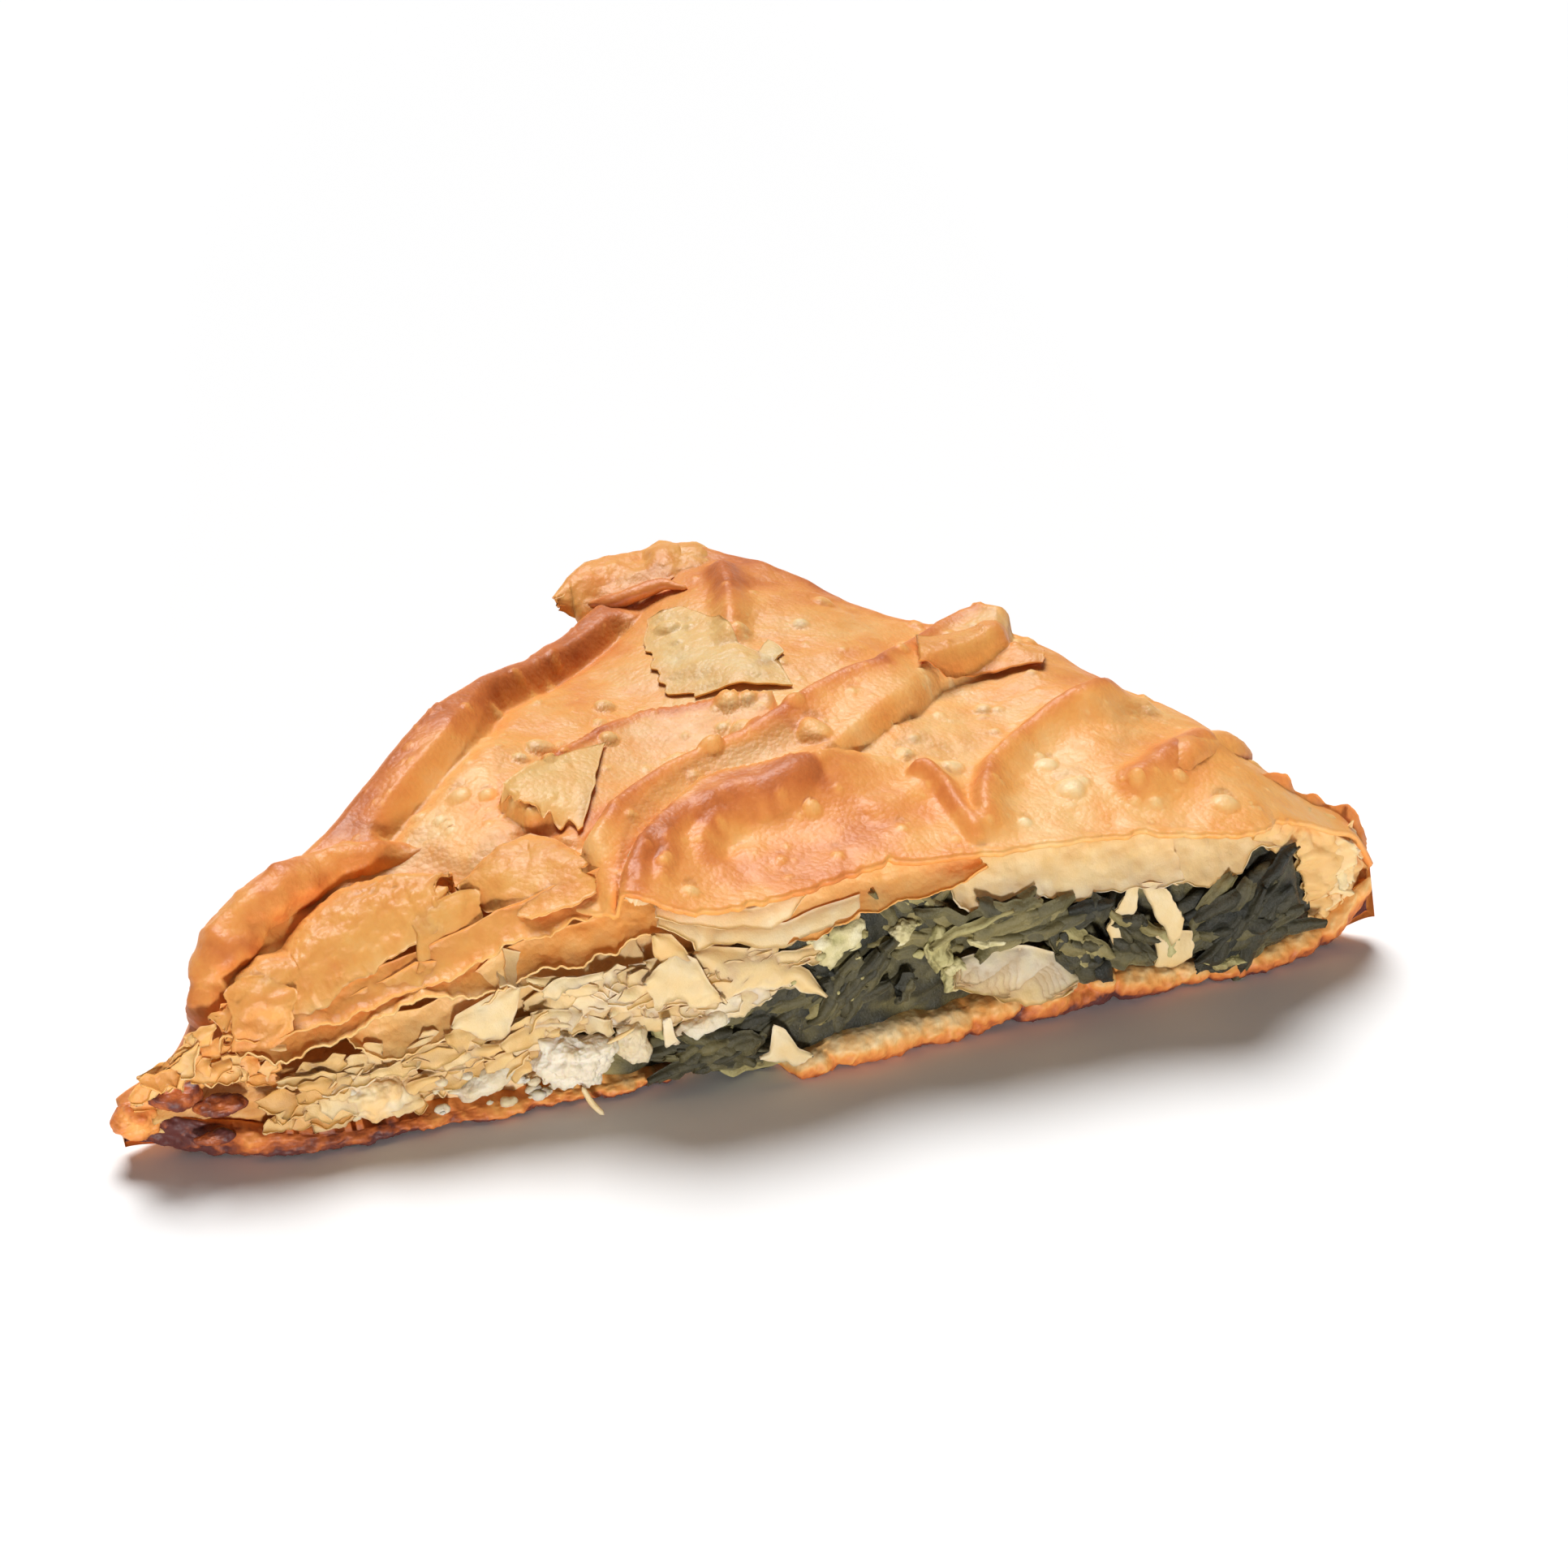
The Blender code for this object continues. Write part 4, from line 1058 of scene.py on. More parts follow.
def make_feta(skin):
    """The white curd with its neighbours and crumbs, and the small curds higher up."""
    left = Pile("feta_at_left")
    left.add(blob((59, -0.2, 8), (1, 2.6, 1), 5, n=48, rough=0.75, grain=2.4, bake=0.08, vary=0.08,
                  outline=FETA_FRONT, ridged=0.9))
    left.add(blob((47.5, 1.6, 6), (1, 2.4, 1), 6, n=30, rough=0.5, grain=2.4, bake=0.2, outline=FETA_LEFT))
    left.add(blob((67.4, 0.4, 8.4), (1, 2.0, 1), 7, n=34, rough=0.5, grain=2.4, bake=0.32,
                  outline=FETA_CHUNK, ridged=0.3))
    rng = np.random.default_rng(31)
    for k in range(46):
        px = rng.uniform(27, 57)
        pz = rng.uniform(2.6, 8.5) - 0.05 * (px - 27)
        size = rng.uniform(0.25, 0.8)
        left.add(blob((px, rng.uniform(0.6, 2.2), max(pz, 2.4)), (size * 1.5, size, size), 400 + k, n=6,
                      rough=0.3, grain=1.2, bake=rng.uniform(0.05, 0.4)))
    left.finish(skin, ("feta_large",))
    middle = Pile("feta_at_middle")
    middle.add(blob((76.8, 0.6, 9.2), (1, 1.6, 1), 8, n=30, rough=0.4, grain=2.0, bake=0.2,
                    outline=FETA_CRUMB_LINE))
    middle.add(blob((99.5, 4.6, 15.6), (3.6, 2.6, 2.2), 9, n=26, rough=0.6, grain=2.2, bake=0.55))
    middle.finish(skin, ("feta_middle",))


# Flakes lying on the top: front line, back line, seed, lift, tear, bake, bow
LAID_FLAKES = [
    ([(90, 49), (87, 54), (87.5, 62), (88.5, 69), (90.5, 75)],
     [(103.5, 45), (103.5, 51), (99.5, 58), (99, 66), (95.5, 74)], 9, 0.7, 1.2, 0.33, 0.5),
    ([(99, 51), (101.5, 55), (104, 58.5)], [(101, 50), (103.5, 52), (105, 54)], 39, 0.7, 0.6, 0.22, 0.2),
    ([(121, 41.5), (125, 41.5), (132, 42), (139.5, 40.5)],
     [(123, 48.5), (128, 49), (134, 50), (141.5, 45)], 10, 1.2, 0.9, 0.56, 0.6),
    ([(57.5, 28.5), (60, 25), (63, 23), (66.5, 20)],
     [(58, 30), (63, 33), (69, 36), (74, 38)], 11, 0.8, 2.0, 0.36, 0.3),
]

# Lines and outlines of the layers at the cut, as (x, z)
L1_LOW = [
    (14, 15.5), (14.5, 17), (19.5, 16), (23, 17), (28.5, 16.5), (32.5, 17.5), (36.5, 18.5), (41, 19.5),
    (44, 20.5), (48.5, 22), (51.5, 23.5), (55, 24), (59, 25.5), (62.5, 26), (66, 27),
]
L2_LOW = [
    (15.5, 14.5), (20, 13.5), (22.5, 13.5), (25.5, 14.5), (28.5, 14.5), (33.5, 16.5), (37, 17.5), (40, 19),
    (44, 18.5), (47, 18.5), (52, 18.5), (56, 20), (61.5, 20.5), (66.5, 21.5), (68, 23), (72, 23),
]
L2B_LOW = [(50, 19.5), (51.5, 19), (56, 17), (59.5, 17.5), (64.5, 16), (67, 16.5), (69.5, 18)]
L3_LOW = [(30, 13.5), (31.5, 12), (35, 12), (40, 12), (44, 13.5), (46.5, 15), (47.5, 16), (51, 19)]
L3_HANG = [(44, 16.5), (43.5, 15), (47.5, 12.5), (49.5, 12.5), (50.5, 12), (52, 16), (52.5, 19), (49, 18.5)]
BACKDROP = [(47, 10), (46, 6.5), (48.5, 5), (53, 5.5), (56, 7.5), (58, 10), (59, 18), (52, 19), (47.5, 15)]
CREAM_A = [
    (57, 17.5), (62, 17.5), (67, 16), (67.5, 14), (64, 13), (63.5, 11.5), (59.5, 11.5), (58.5, 10),
    (58, 8.5), (57.5, 10.5), (56, 12.5), (57, 14),
]
CREAM_B = [(67, 17.5), (71.5, 19), (71.5, 16.5), (69, 15), (67.5, 14), (65.5, 13.5), (64, 13.5)]
JAGGED = [
    (71.5, 20.5), (73.5, 21.5), (76, 20), (77.5, 16.5), (79.5, 13.5), (75.5, 13.5), (73.5, 14.5), (72, 15.5),
    (70, 14.5), (69, 17), (68.5, 18),
]
WEDGE = [
    (70.5, 24), (73, 23.5), (74.5, 21.5), (75.5, 19.5), (74, 19.5), (72.5, 20.5), (71.5, 20), (70.5, 21),
]
POINTED = [
    (76, 19.5), (78.5, 20), (84, 19), (88, 17.5), (91.5, 15), (93.5, 11.5), (92.5, 12), (90, 12.5), (89, 14),
    (86.5, 13.5), (82.5, 14), (79.5, 13), (78, 16.5),
]
UNDER_CREAM = [
    (64, 12.5), (67.5, 14.5), (70, 14), (75, 13.5), (80.5, 13), (80.5, 11.5), (78.5, 9.5), (75, 8.9),
    (72, 10), (70.5, 9.5), (67.5, 10), (64, 11),
]
TAG = [(71, 12), (72, 12.5), (72.5, 9.5), (73, 8.5), (71, 8)]
WHITE_SHARD = [(86, 9), (87.5, 8), (89, 5), (91, 3.5), (90, 2.5), (87.5, 3), (84, 4.5), (85.5, 5)]
SECOND_LOW = [
    (113, 20), (115, 18), (117, 18.5), (122, 20), (128.5, 17.5), (132.5, 18.5), (140.5, 18.5),
    (145.5, 18.5),
]
SECOND_HIGH = [(112, 27), (118, 27.5), (125, 27.5), (132, 27), (140, 26.5), (145, 26)]
THIRD_LOW = [(145, 16.5), (146, 16), (149.5, 16.5), (153, 16), (155.5, 17), (158, 19.5), (163, 18.5)]
THIRD_HIGH = [(144, 25.5), (147, 25.5), (150, 25.5), (155, 25), (159, 24.5), (163, 22.5)]
ORANGE_LOW = [
    (88, 19), (90, 19.5), (93.5, 21), (99.5, 23), (102.5, 23), (106.5, 23.5), (113.5, 25), (116, 27),
]
ORANGE_HIGH = [(88, 26), (90.5, 26.5), (98, 27), (105.5, 28), (112.5, 28), (116.5, 28)]
RIBBON_A_LOW = [(70.5, 27.5), (74.5, 25.5), (80, 24), (83.5, 23.2), (86.5, 22.5), (88.5, 23.5), (91.5, 27.5)]
RIBBON_A_HIGH = [(71, 28), (75.5, 26.8), (81, 25.6), (84, 25), (87.5, 25.6), (92, 28)]
RIBBON_B_LOW = [
    (71, 26), (75.5, 23), (76, 21), (78.5, 22), (83, 20.5), (86.5, 19.5), (89, 19.5), (92, 21), (98.5, 22),
]
RIBBON_B_HIGH = [(71.5, 26.4), (77, 24), (80.5, 23), (86, 22.2), (89, 22), (93, 23.4), (99.5, 24.4)]
FAN_TOP = [(113.5, 12), (119, 12.8), (123, 12.4), (127, 10.5), (130, 6.5)]
FAN_LOW = [(112.5, 9.5), (119, 6.6), (123, 5), (127, 4.8), (130, 5.6)]
WRAP_HIGH = [
    (158.5, 26.5), (163.5, 24), (167, 21.5), (171.5, 19.5), (174.5, 15), (176.5, 11), (176, 7.5),
    (173.5, 5),
]
WRAP_LOW = [(157, 22), (159.5, 18.8), (164, 17.8), (165.5, 14), (166.4, 10.5), (167.5, 7), (168, 5)]

# Strips that hang over the spinach: low line, high line, bow, tear, bake
HANGING_STRIPS = [
    ([(134, 0.6, 13.5), (135.2, 0.2, 10.6), (136.6, 0.2, 11.5)],
     [(137.2, 1.6, 18.6), (138.4, 1.6, 19.4), (139.6, 1.6, 19)], 0.3, 0.2, 0.12),
    ([(143.8, 0.2, 9.2), (145.2, 0.2, 10.2), (145.6, 0.4, 13)],
     [(139.2, 1.6, 19), (140.6, 1.6, 19.2), (142.6, 1.6, 18.8)], 0.6, 0.3, 0.12),
    ([(141.6, 0.4, 6.2), (144, 0.2, 5.4), (147, 0.6, 6.4)],
     [(142, 1.4, 10.6), (144.6, 1.2, 11), (147.4, 1.6, 10)], 0.5, 0.4, 0.14),
]

# Knobs of the thin end: middle, half sizes, squares along an edge, rough, grain, bake, vary, ridged
KNOBS = [
    ((2.4, 6.2, 6.0), (3.4, 2.2, 2.6), 26, 0.6, 2.4, 0.66, 0.16, 0.6),
    ((7.4, 4.4, 9.8), (3.4, 2.0, 1.7), 22, 0.5, 2.2, 0.90, 0.12, 0.6),
    ((12.6, 2.6, 8.4), (3.6, 1.6, 1.1), 22, 0.45, 2.0, 0.96, 0.12, 0.6),
    ((11.5, 1.4, 4.4), (2.8, 1.0, 1.0), 18, 0.35, 2.0, 0.97, 0.1, 0.5),
]


def terrace(line, front_y, back_y, rise, seed, **kind):
    """A torn sheet whose low edge is a line given as (x, z) and which rises behind it."""
    high = [(x, y, z + rise) for x, y, z in at_depth(back_y, line)]
    return sheet(at_depth(front_y, line), high, seed, step=0.3, **kind)


def scrap(middle, reach, tall, turn, seed, tone):
    """A torn bit of filo, reach long along its turn in the plane of the cut."""
    rng = np.random.default_rng(seed)
    spots = np.linspace(-0.5, 0.5, 6)
    along = np.array([math.cos(turn), rng.normal(0, 0.15), math.sin(turn)])
    up = np.array([-math.sin(turn), 0.0, math.cos(turn)])
    taper = np.sqrt(np.clip(1.05 - (1.9 * spots) ** 2, 0.05, 1))
    above = tall * taper * rng.uniform(0.25, 0.75, 6)
    below = tall * taper * rng.uniform(0.25, 0.75, 6)
    line = np.array(middle) + spots[:, None] * reach * along
    high = line + up * above[:, None] + np.array([0, 0.16 * tall, 0])
    low = line - up * below[:, None] - np.array([0, 0.16 * tall, 0])
    return sheet(low, high, seed, bow=rng.uniform(-0.2, 0.5), torn=0.7, crumple=0.5, wrinkle=0.5, bake=tone,
                 edge=-0.05, step=0.28, thick=0.26, ends=0.5, curl=rng.uniform(0, 0.5))


def make_golden_layers(skin):
    """Sheets and rolls that lie on the top or hang at the left of the cut, all well browned."""
    pile = Pile("golden_layers")
    front = [
        (14.5, 5.5, 16), (18.5, 4, 16), (21.5, 4.5, 16.5), (24.5, 5.6, 17.4), (27.5, 6, 18.4),
        (32.5, 7, 20.6), (37.5, 8, 22.6), (42.5, 9, 24.8), (45, 11, 26.4), (46.5, 14, 27.6),
    ]
    back = on_top(0.6, [
        (15.5, 7.5), (17.5, 11.5), (20.5, 13.5), (24, 15), (27.5, 19), (33.5, 22), (38.5, 23), (43, 21.5),
        (46.5, 17),
    ])
    pile.add(sheet(front, back, 1, bow=3.0, torn=0.6, crumple=0.5, thick=0.4, bake=0.54, edge=-0.14,
                   step=0.26, wrinkle=0.4, pimples=0.5))
    pile.add(sheet(at_depth(3.2, [(15, 15.8), (17, 15.2), (20, 15.6), (23, 17)]),
                   at_depth(8.5, [(16, 22), (18, 23.5), (21, 23), (23.5, 21)]), 2, bow=1.8, torn=0.3,
                   crumple=0.6, bake=0.54, edge=0.05, wrinkle=1.4))
    pile.add(sheet(at_depth((6, 9), [(40, 20.5), (44, 20), (48, 21.5), (50, 23.5)]),
                   at_depth((12, 14), [(41, 26), (44.5, 27.5), (47.5, 28), (50, 27.5)]), 3, bow=1.0,
                   torn=0.5, bake=0.47, crumple=0.5, wrinkle=0.6))
    flake_front = on_top(1.2, [(49, 15.5), (51, 11.5), (53.5, 8.5), (57, 5.5), (60.5, 5), (64, 6)])
    flake_back = on_top(1.0, [(48.5, 17), (51, 18.5), (55, 20.5), (59.5, 22.5), (62, 19), (64.5, 14.5)])
    pile.add(sheet(flake_front, flake_back, 4, bow=1.5, torn=0.7, crumple=0.35, bake=0.55, edge=-0.12,
                   wrinkle=0.4, ends=1.2))
    pile.add(terrace(L1_LOW, (3.6, 5), (7.5, 9.5), 3.6, 5, bow=-0.3, torn=0.9, bake=0.56, edge=-0.12,
                     crumple=0.45, curl=0.7, thick=0.32))
    pile.add(terrace(L2_LOW, (2.4, 3), (6.5, 7.5), 3.4, 6, bow=-0.4, torn=1.0, bake=0.48, edge=-0.14,
                     crumple=0.45, curl=0.8, thick=0.32))
    pile.add(terrace(L3_LOW, 1.6, 5.5, 4.2, 7, bow=-0.3, torn=1.1, bake=0.36, edge=-0.1, crumple=0.5,
                     curl=0.8, thick=0.3))
    pile.add(sheet(at_depth(0, ORANGE_LOW), at_depth(4.5, ORANGE_HIGH), 8, bow=-0.7, torn=0.6, bake=0.40,
                   edge=0.12, crumple=0.4))
    for low, high, seed, lift, torn, bake, bow in LAID_FLAKES:
        pile.add(laid(low, high, seed, lift=lift, torn=torn, bake=bake, bow=bow))
    flap_low = [
        (79.5, 86, 28.6), (82.6, 85.2, 27.2), (83, 83, 27.4), (86, 82, 28.6), (91, 82, 30.4), (97, 84, 32),
        (103, 86, 32), (106.5, 87, 30.6),
    ]
    flap_high = [
        (79.6, 88, 29.6), (82.5, 91, 31), (86, 94, 31.6), (91, 95.8, 31.2), (95.5, 96.4, 31),
        (98.4, 96.4, 32.6), (101, 96.2, 31.4), (103.5, 95, 32.2), (107.5, 91.5, 30),
    ]
    pile.add(sheet(flap_low, flap_high, 38, bow=1.2, torn=0.8, bake=0.52, crumple=0.4, wrinkle=0.5,
                   edge=0.1))
    pile.add(tube([(84, 85.5, 29.2), (87, 83, 30.2), (91, 82.4, 31.4), (95, 82, 32.6), (98, 79.5, 32.6)],
                  [0.4, 1.2, 1.4, 1.2, 0.5], 36, flat=0.8, bake=0.70, rough=0.5))
    roll = [
        (14.4, 10.5, 12.5), (14.2, 12.2, 16.5), (15.2, 14.6, 20.5), (17.8, 17.2, 23.8), (21.6, 20.0, 25.8),
        (26, 22.8, 26.8),
    ]
    roll = roll + on_top(0.2, [(31, 25.2), (36, 26.6)]) + on_top(-1.0, [(41, 27.2)])
    roll = roll + on_top(-2.4, [(46, 26.8)]) + on_top(-3.6, [(51, 26), (54, 25.6)])
    roll_radii = [2.2, 3.4, 3.9, 3.8, 3.6, 3.4, 3.0, 2.7, 2.5, 2.2, 1.6, 1.2]
    pile.add(tube(roll, roll_radii, 12, sides=30, bake=0.62, vary=0.14, rough=0.8, step=0.3))
    fold = on_top(-2.6, [(143, 8.5), (147, 12)]) + on_top(-1.4, [(151, 15)])
    fold = fold + [(155, 17.4, 28.6), (159, 19.2, 27.4), (162, 20.2, 24.8)]
    pile.add(tube(fold, [1.4, 2.2, 2.8, 3.2, 3.2, 2.4], 13, bake=0.58, vary=0.12, rough=0.4, flat=0.8))
    flange_low = [(160, 11, 23.5), (165, 11, 20), (169, 10.6, 17.5), (173, 10.4, 14.5), (176.6, 10.2, 11.5)]
    flange_high = [
        (160, 13, 25.6), (162.5, 13.2, 26.4), (165.5, 13.4, 25.6), (167, 13, 22.8), (168.8, 13, 21.6),
        (170.4, 13, 21.4), (172, 13, 19.4), (173.6, 13, 19), (175.4, 13, 18.8), (177, 12.6, 17),
        (177.8, 12.2, 13.6),
    ]
    pile.add(sheet(flange_high, flange_low, 14, bow=0.5, torn=0.3, bake=0.64, crumple=0.5, edge=0.05,
                   ends=0.4))
    for k, (middle, size, n, rough, grain, bake, vary, ridged) in enumerate(KNOBS):
        pile.add(blob(middle, size, 15 + k, n, rough, grain, bake, vary, ridged=ridged))
    rng = np.random.default_rng(42)
    for k in range(34):
        px = rng.uniform(3, 20)
        pz = float(np.interp(px, [2, 6, 10, 14, 20], [10, 14, 15.5, 13.5, 12])) + rng.normal(0, 1.2)
        pile.add(scrap((px, 3.2 + rng.uniform(-0.6, 1.6), pz), rng.uniform(2.4, 6), rng.uniform(1.0, 2.4),
                       rng.normal(0.7 if px < 10 else 0.15, 0.35), 600 + k, rng.uniform(0.34, 0.62)))
    for k in range(22):
        px = rng.uniform(165, 176)
        pz = rng.uniform(8, 19) - 0.9 * max(0, px - 171)
        py = float(np.interp(pz, [6, 20], [5.2, 8.6])) + rng.uniform(0.2, 1.4)
        pile.add(scrap((px, py, pz), rng.uniform(2, 5.5), rng.uniform(0.8, 2.0), rng.normal(-1.0, 0.5),
                       800 + k, rng.uniform(0.16, 0.5)))
    pile.finish(skin)


def make_pale_layers(skin):
    """The thin cream sheets, torn pieces and shards along the cut."""
    pile = Pile("pale_layers")
    pile.add(terrace(L2B_LOW, 2.6, 6.5, 3.6, 21, bow=-0.3, torn=0.9, bake=0.16, edge=-0.05, curl=0.6,
                     thick=0.3))
    plates = [
        (L3_HANG, 2.6, 0.8, dict(bow=0.5, torn=0.2, bake=0.14, edge=0.04)),
        (BACKDROP, 5.5, 3.2, dict(bow=0.6, torn=0.3, bake=0.30, edge=0.0, wrinkle=0.5)),
        (CREAM_A, 2.6, 0.9, dict(bow=0.6, torn=0.9, bake=0.10, crumple=0.9, edge=0.0, wrinkle=0.9,
                                 thick=0.3)),
        (CREAM_B, 1.8, 0.6, dict(bow=0.5, torn=0.7, bake=0.12, crumple=0.9, edge=0.0, wrinkle=0.8,
                                 thick=0.3)),
        (UNDER_CREAM, 2.4, 1.0, dict(bow=0.5, torn=0.8, bake=0.18, crumple=1.0, edge=0.0, wrinkle=1.0,
                                     thick=0.3)),
        (POINTED, 2.4, -0.8, dict(bow=0.9, torn=0.6, bake=0.18, crumple=0.5, edge=-0.12, wrinkle=0.3)),
        (WEDGE, 1.8, 0.6, dict(bow=0.6, torn=0.2, bake=0.30)),
        (JAGGED, 0.6, -1.4, dict(bow=0.4, torn=0.7, bake=0.12, crumple=0.8, edge=0.0, wrinkle=0.6,
                                 thick=0.35)),
        (TAG, -1.0, -1.6, dict(bow=0.1, torn=0.2, bake=0.04, edge=0.0)),
        (WHITE_SHARD, -1.6, -2.8, dict(bow=0.3, torn=0.4, bake=0.05, edge=0.0, thick=0.45)),
    ]
    for k, (outline, y_high, y_low, kind) in enumerate(plates):
        pile.add(plate(outline, y_high, y_low, 22 + k, **kind))
    ribbons = [(RIBBON_A_LOW, RIBBON_A_HIGH, 0.3, 0.10), (RIBBON_B_LOW, RIBBON_B_HIGH, 0.4, 0.12)]
    for k, (low, high, torn, bake) in enumerate(ribbons):
        pile.add(sheet(at_depth(0.2, low), at_depth(2.2, high), 32 + k, bow=0.3, torn=torn, bake=bake, edge=0.1))
    # The second and third sheets get a negative fade: painted shade, darker towards their high lines under the
    # overhanging top.
    pile.add(sheet(at_depth(1.8, SECOND_LOW), at_depth(5.4, SECOND_HIGH), 34, bow=-0.5, torn=0.7, bake=0.32,
                   edge=0.0, crumple=0.5, step=0.3, curl=0.6, thick=0.3, fade=-0.28))
    pile.add(sheet(at_depth((2.8, 5), THIRD_LOW), at_depth((6.4, 9), THIRD_HIGH), 35, bow=-0.4, torn=0.8,
                   bake=0.27, edge=0.0, crumple=0.5, step=0.3, curl=0.5, thick=0.3, fade=-0.12))
    for k in range(6):
        part = k / 5
        top = [(x - 1.5 * part, z - 0.4 * k) for x, z in FAN_TOP]
        low = [(x - 1.0 * part, z + 0.9 * (1 - part)) for x, z in FAN_LOW]
        pile.add(sheet(at_depth(-1.6 + 0.7 * (1 - part), low), at_depth(1.2 + 0.4 * (1 - part), top), 50 + k,
                       bow=0.5, torn=0.5, bake=0.06 + 0.03 * k, edge=0.10, crumple=0.5))
    pile.add(sheet(at_depth((5.0, 6.5), WRAP_LOW), at_depth((9.5, 10), WRAP_HIGH), 60, bow=1.2, torn=0.6,
                   bake=0.28, edge=0.04, crumple=0.9, thick=0.8, wrinkle=1.4, step=0.32))
    for k, (low, high, bow, torn, bake) in enumerate(HANGING_STRIPS):
        pile.add(sheet(low, high, 61 + k, bow=bow, torn=torn, bake=bake))
    rng = np.random.default_rng(41)
    for k in range(84):
        px = rng.uniform(20, 55)
        pz = rng.uniform(4.5, 13.0) + 0.10 * (px - 36)
        pile.add(scrap((px, rng.uniform(0.2, 2.4), pz), rng.uniform(3, 9), rng.uniform(1.0, 2.8),
                       rng.normal(0.2, 0.18), 500 + k, rng.uniform(0.12, 0.40) + 0.12 * (px < 28)))
    for k in range(64):
        px = rng.uniform(54, 92)
        pz = rng.uniform(11.5, 18.5) + 0.05 * (75 - px)
        pile.add(scrap((px, rng.uniform(0.6, 2.4), pz), rng.uniform(4, 11), rng.uniform(1.2, 3.0),
                       rng.normal(0.08, 0.16), 700 + k, rng.uniform(0.0, 0.24)))
    pile.add(tube([(59.4, -2.6, 5), (60.5, -3.2, 2.4), (62, -3.6, 0.7)], [0.3, 0.42, 0.34], 71, sides=10,
                  bake=0.05, rough=0.1))
    pile.add(tube([(63, -1.6, 10.4), (65, -2.2, 11.6), (66.8, -2.4, 12.7)], [0.12, 0.34, 0.12], 72, sides=10,
                  bake=0.18, rough=0.1))
    pile.add(blob((33, 1.2, 6.2), (1, 2.0, 1), 70, n=30, rough=0.55, grain=2.6, bake=0.12,
                  outline=GREENISH_CHUNK, ridged=0.4))
    pile.finish(skin)


PALE_TONES = [
    (0.00, (0.90, 0.71, 0.46)),
    (0.12, (0.88, 0.61, 0.31)),
    (0.28, (0.84, 0.51, 0.20)),
    (0.45, (0.76, 0.38, 0.11)),
    (0.65, (0.56, 0.24, 0.06)),
    (1.00, (0.22, 0.09, 0.03)),
]
SPINACH_TONES = [
    (0.00, (0.028, 0.028, 0.021)),
    (0.18, (0.066, 0.059, 0.034)),
    (0.36, (0.160, 0.135, 0.060)),
    (0.54, (0.31, 0.25, 0.10)),
    (0.72, (0.52, 0.46, 0.20)),
    (0.88, (0.72, 0.62, 0.33)),
    (1.00, (0.84, 0.76, 0.50)),
]
FETA_TONES = [
    (0.00, (0.84, 0.75, 0.60)),
    (0.35, (0.74, 0.60, 0.38)),
    (0.70, (0.66, 0.50, 0.22)),
    (1.00, (0.42, 0.30, 0.11)),
]


def soft_material(name, tones, gloss, glow, patch, bumps, sheen=0.4):
    """A moist or pale food surface coloured by its bake attribute."""
    made, nodes, links, shader = new_material(name)
    patches = math_node(nodes, links, "SUBTRACT", noise_node(nodes, links, 330, 6, 0.6, 0.4), 0.5)
    level = math_node(nodes, links, "ADD", bake_node(nodes),
                      math_node(nodes, links, "MULTIPLY", patches, patch))
    links.new(ramp_node(nodes, links, level, tones), shader.inputs["Base Color"])
    rough = math_node(nodes, links, "MULTIPLY", noise_node(nodes, links, 600, 4), 0.4)
    links.new(math_node(nodes, links, "ADD", rough, gloss - 0.2), shader.inputs["Roughness"])
    grain = math_node(nodes, links, "ADD", noise_node(nodes, links, 1300, 6, 0.7),
                      noise_node(nodes, links, 450, 4))
    links.new(bump_node(nodes, links, grain, bumps, 0.0004), shader.inputs["Normal"])
    shader.inputs["Specular IOR Level"].default_value = sheen
    let_glow(shader, glow, (1.0, 0.7, 0.35), 0.002)
    return made


# Studio, in metres

CAMERA_OFFSET = (-0.14696, -0.46702, 0.28266)
KEY_PLACE = (0.05, 0.90, 1.34)
KEY_POWER = 3.6
KEY_ANGLE = 28
FILL_PLACE = (-0.25, -1.5, 0.10)
FILL_POWER = 17.0
FILL_WIDTH = 0.18
SKY_STRENGTH = 0.08
FLOOR_WIDTH = 6.0
FLOOR_TONE = 0.97


def look_at(thing, target):
    thing.rotation_euler = (Vector(target) - thing.location).to_track_quat("-Z", "Y").to_euler()


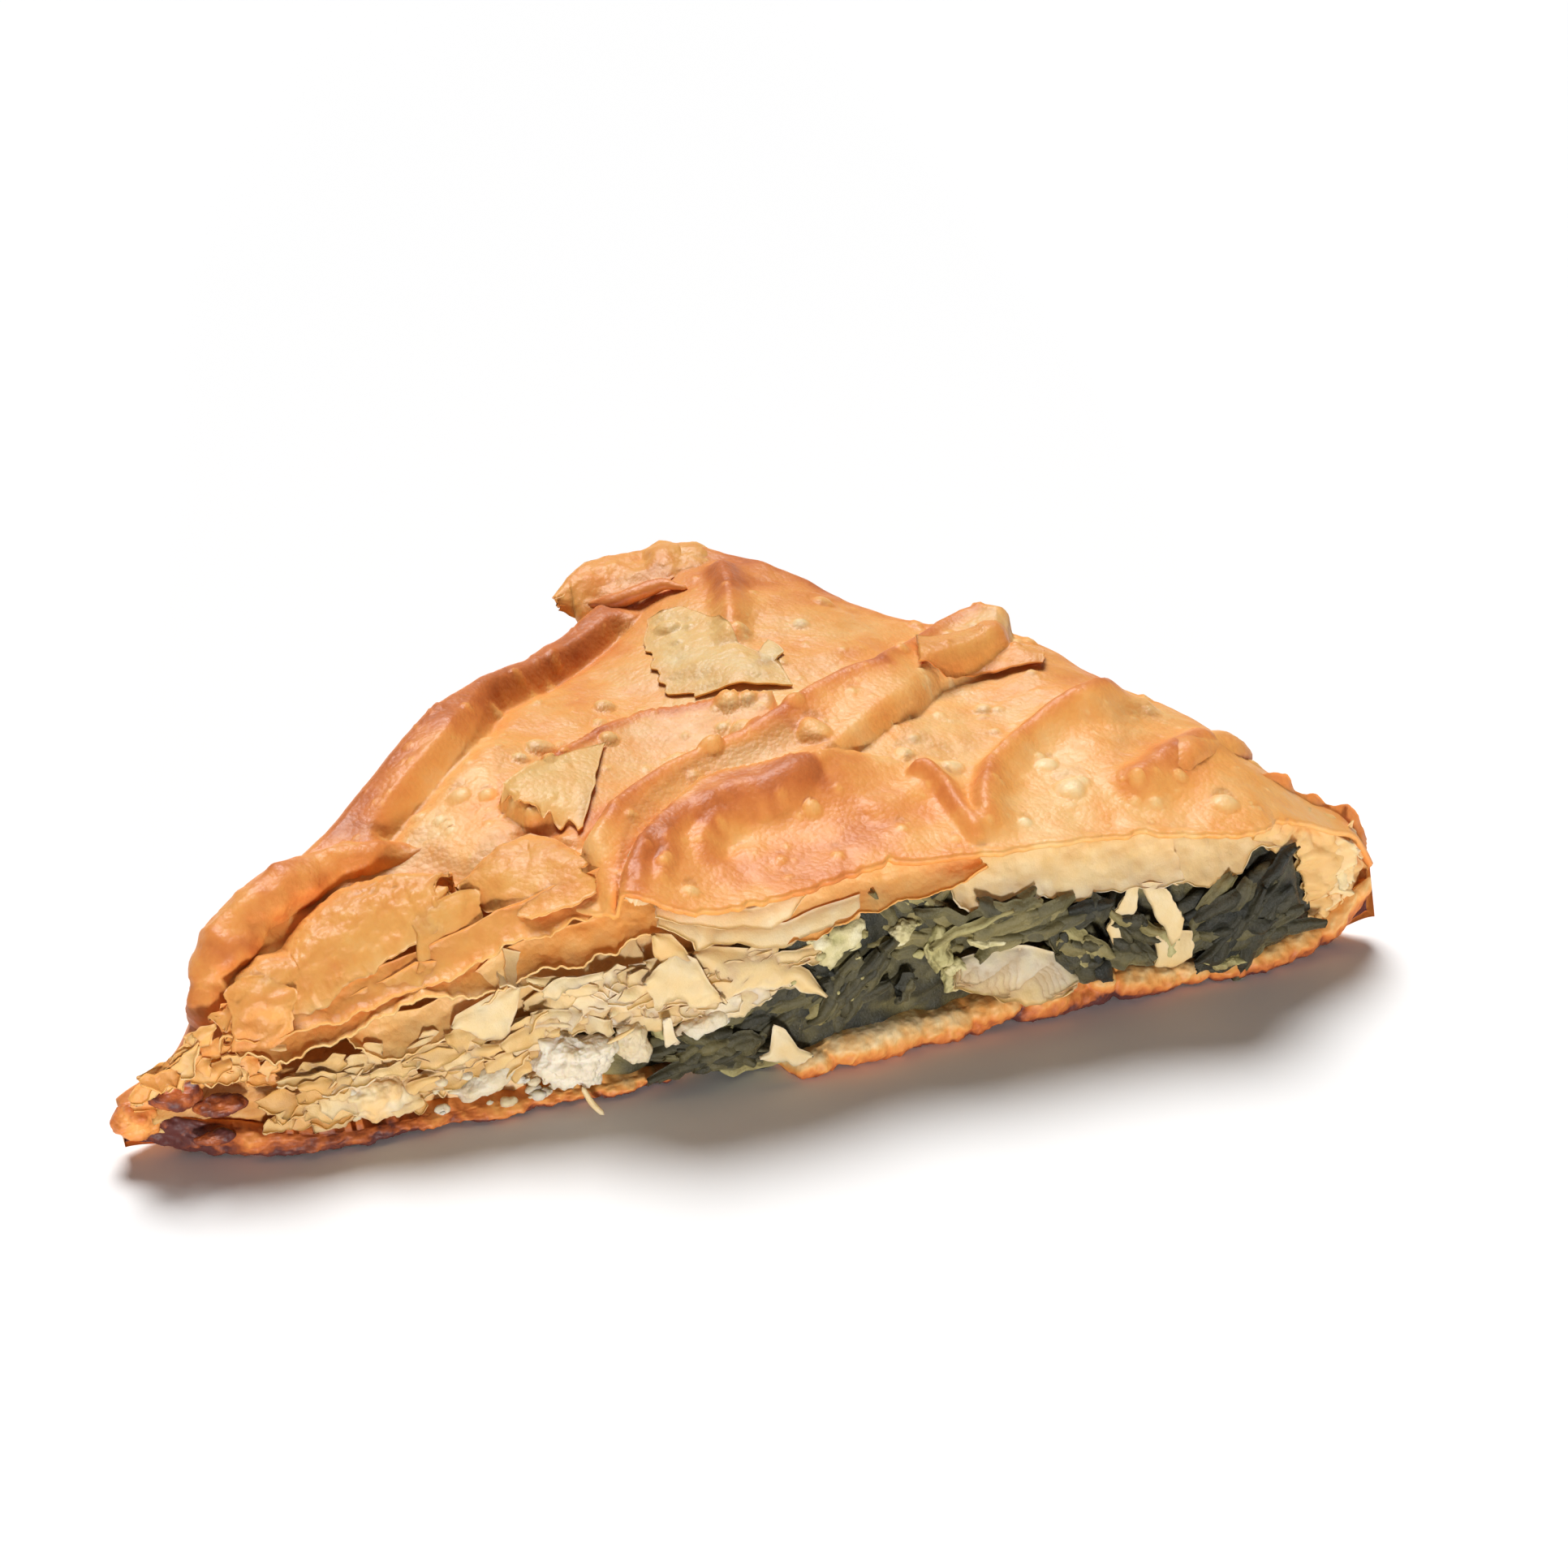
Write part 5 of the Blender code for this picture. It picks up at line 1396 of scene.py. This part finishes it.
def make_camera():
    lens = bpy.data.cameras.new("camera")
    lens.lens = 85
    lens.sensor_width = 36
    camera = bpy.data.objects.new("camera", lens)
    target = Vector(world([111.19, 73.65, 0.0]))
    camera.location = target + Vector(CAMERA_OFFSET)
    look_at(camera, target)
    bpy.context.scene.collection.objects.link(camera)
    bpy.context.scene.camera = camera


def make_light(name, kind, place, power, size):
    """A white light aimed at the piece; size is in degrees for a sun, in metres for an area light."""
    lamp = bpy.data.lights.new(name, kind)
    lamp.energy = power
    if kind == "SUN":
        lamp.angle = math.radians(size)
    else:
        lamp.shape = "DISK"
        lamp.size = size
    made = bpy.data.objects.new(name, lamp)
    made.location = place
    look_at(made, (0.0, 0.0, 0.01))
    bpy.context.scene.collection.objects.link(made)


def make_studio():
    bpy.ops.mesh.primitive_plane_add(size=FLOOR_WIDTH)
    floor = bpy.context.object
    floor.name = "floor"
    made, _, _, shader = new_material("floor_white")
    shader.inputs["Base Color"].default_value = (FLOOR_TONE, FLOOR_TONE, FLOOR_TONE, 1)
    shader.inputs["Roughness"].default_value = 0.9
    shader.inputs["Specular IOR Level"].default_value = 0.1
    floor.data.materials.append(made)
    make_light("key", "SUN", KEY_PLACE, KEY_POWER, KEY_ANGLE)
    make_light("fill", "AREA", FILL_PLACE, FILL_POWER, FILL_WIDTH)
    sky = bpy.data.worlds.new("sky")
    sky.use_nodes = True
    background = sky.node_tree.nodes["Background"]
    background.inputs["Color"].default_value = (1, 1, 1, 1)
    background.inputs["Strength"].default_value = SKY_STRENGTH
    bpy.context.scene.world = sky
    bpy.context.scene.view_settings.view_transform = "Standard"


def main():
    filo = filo_material("golden_filo_skin", gloss=0.43, patch=0.10, glow=0.2)
    crust = filo_material("base_crust_skin", gloss=0.5, patch=0.16, glow=0.1)
    pale = soft_material("pale_filo_skin", PALE_TONES, 0.5, 0.35, 0.16, 0.3)
    spinach = soft_material("spinach_skin", SPINACH_TONES, 0.28, 0.0, 0.34, 0.7, sheen=0.28)
    feta = soft_material("feta_skin", FETA_TONES, 0.55, 0.4, 0.25, 0.5)
    make_shell(filo)
    make_core(pale)
    make_base(crust)
    make_golden_layers(filo)
    make_pale_layers(pale)
    make_spinach(spinach)
    make_feta(feta)
    make_camera()
    make_studio()


main()
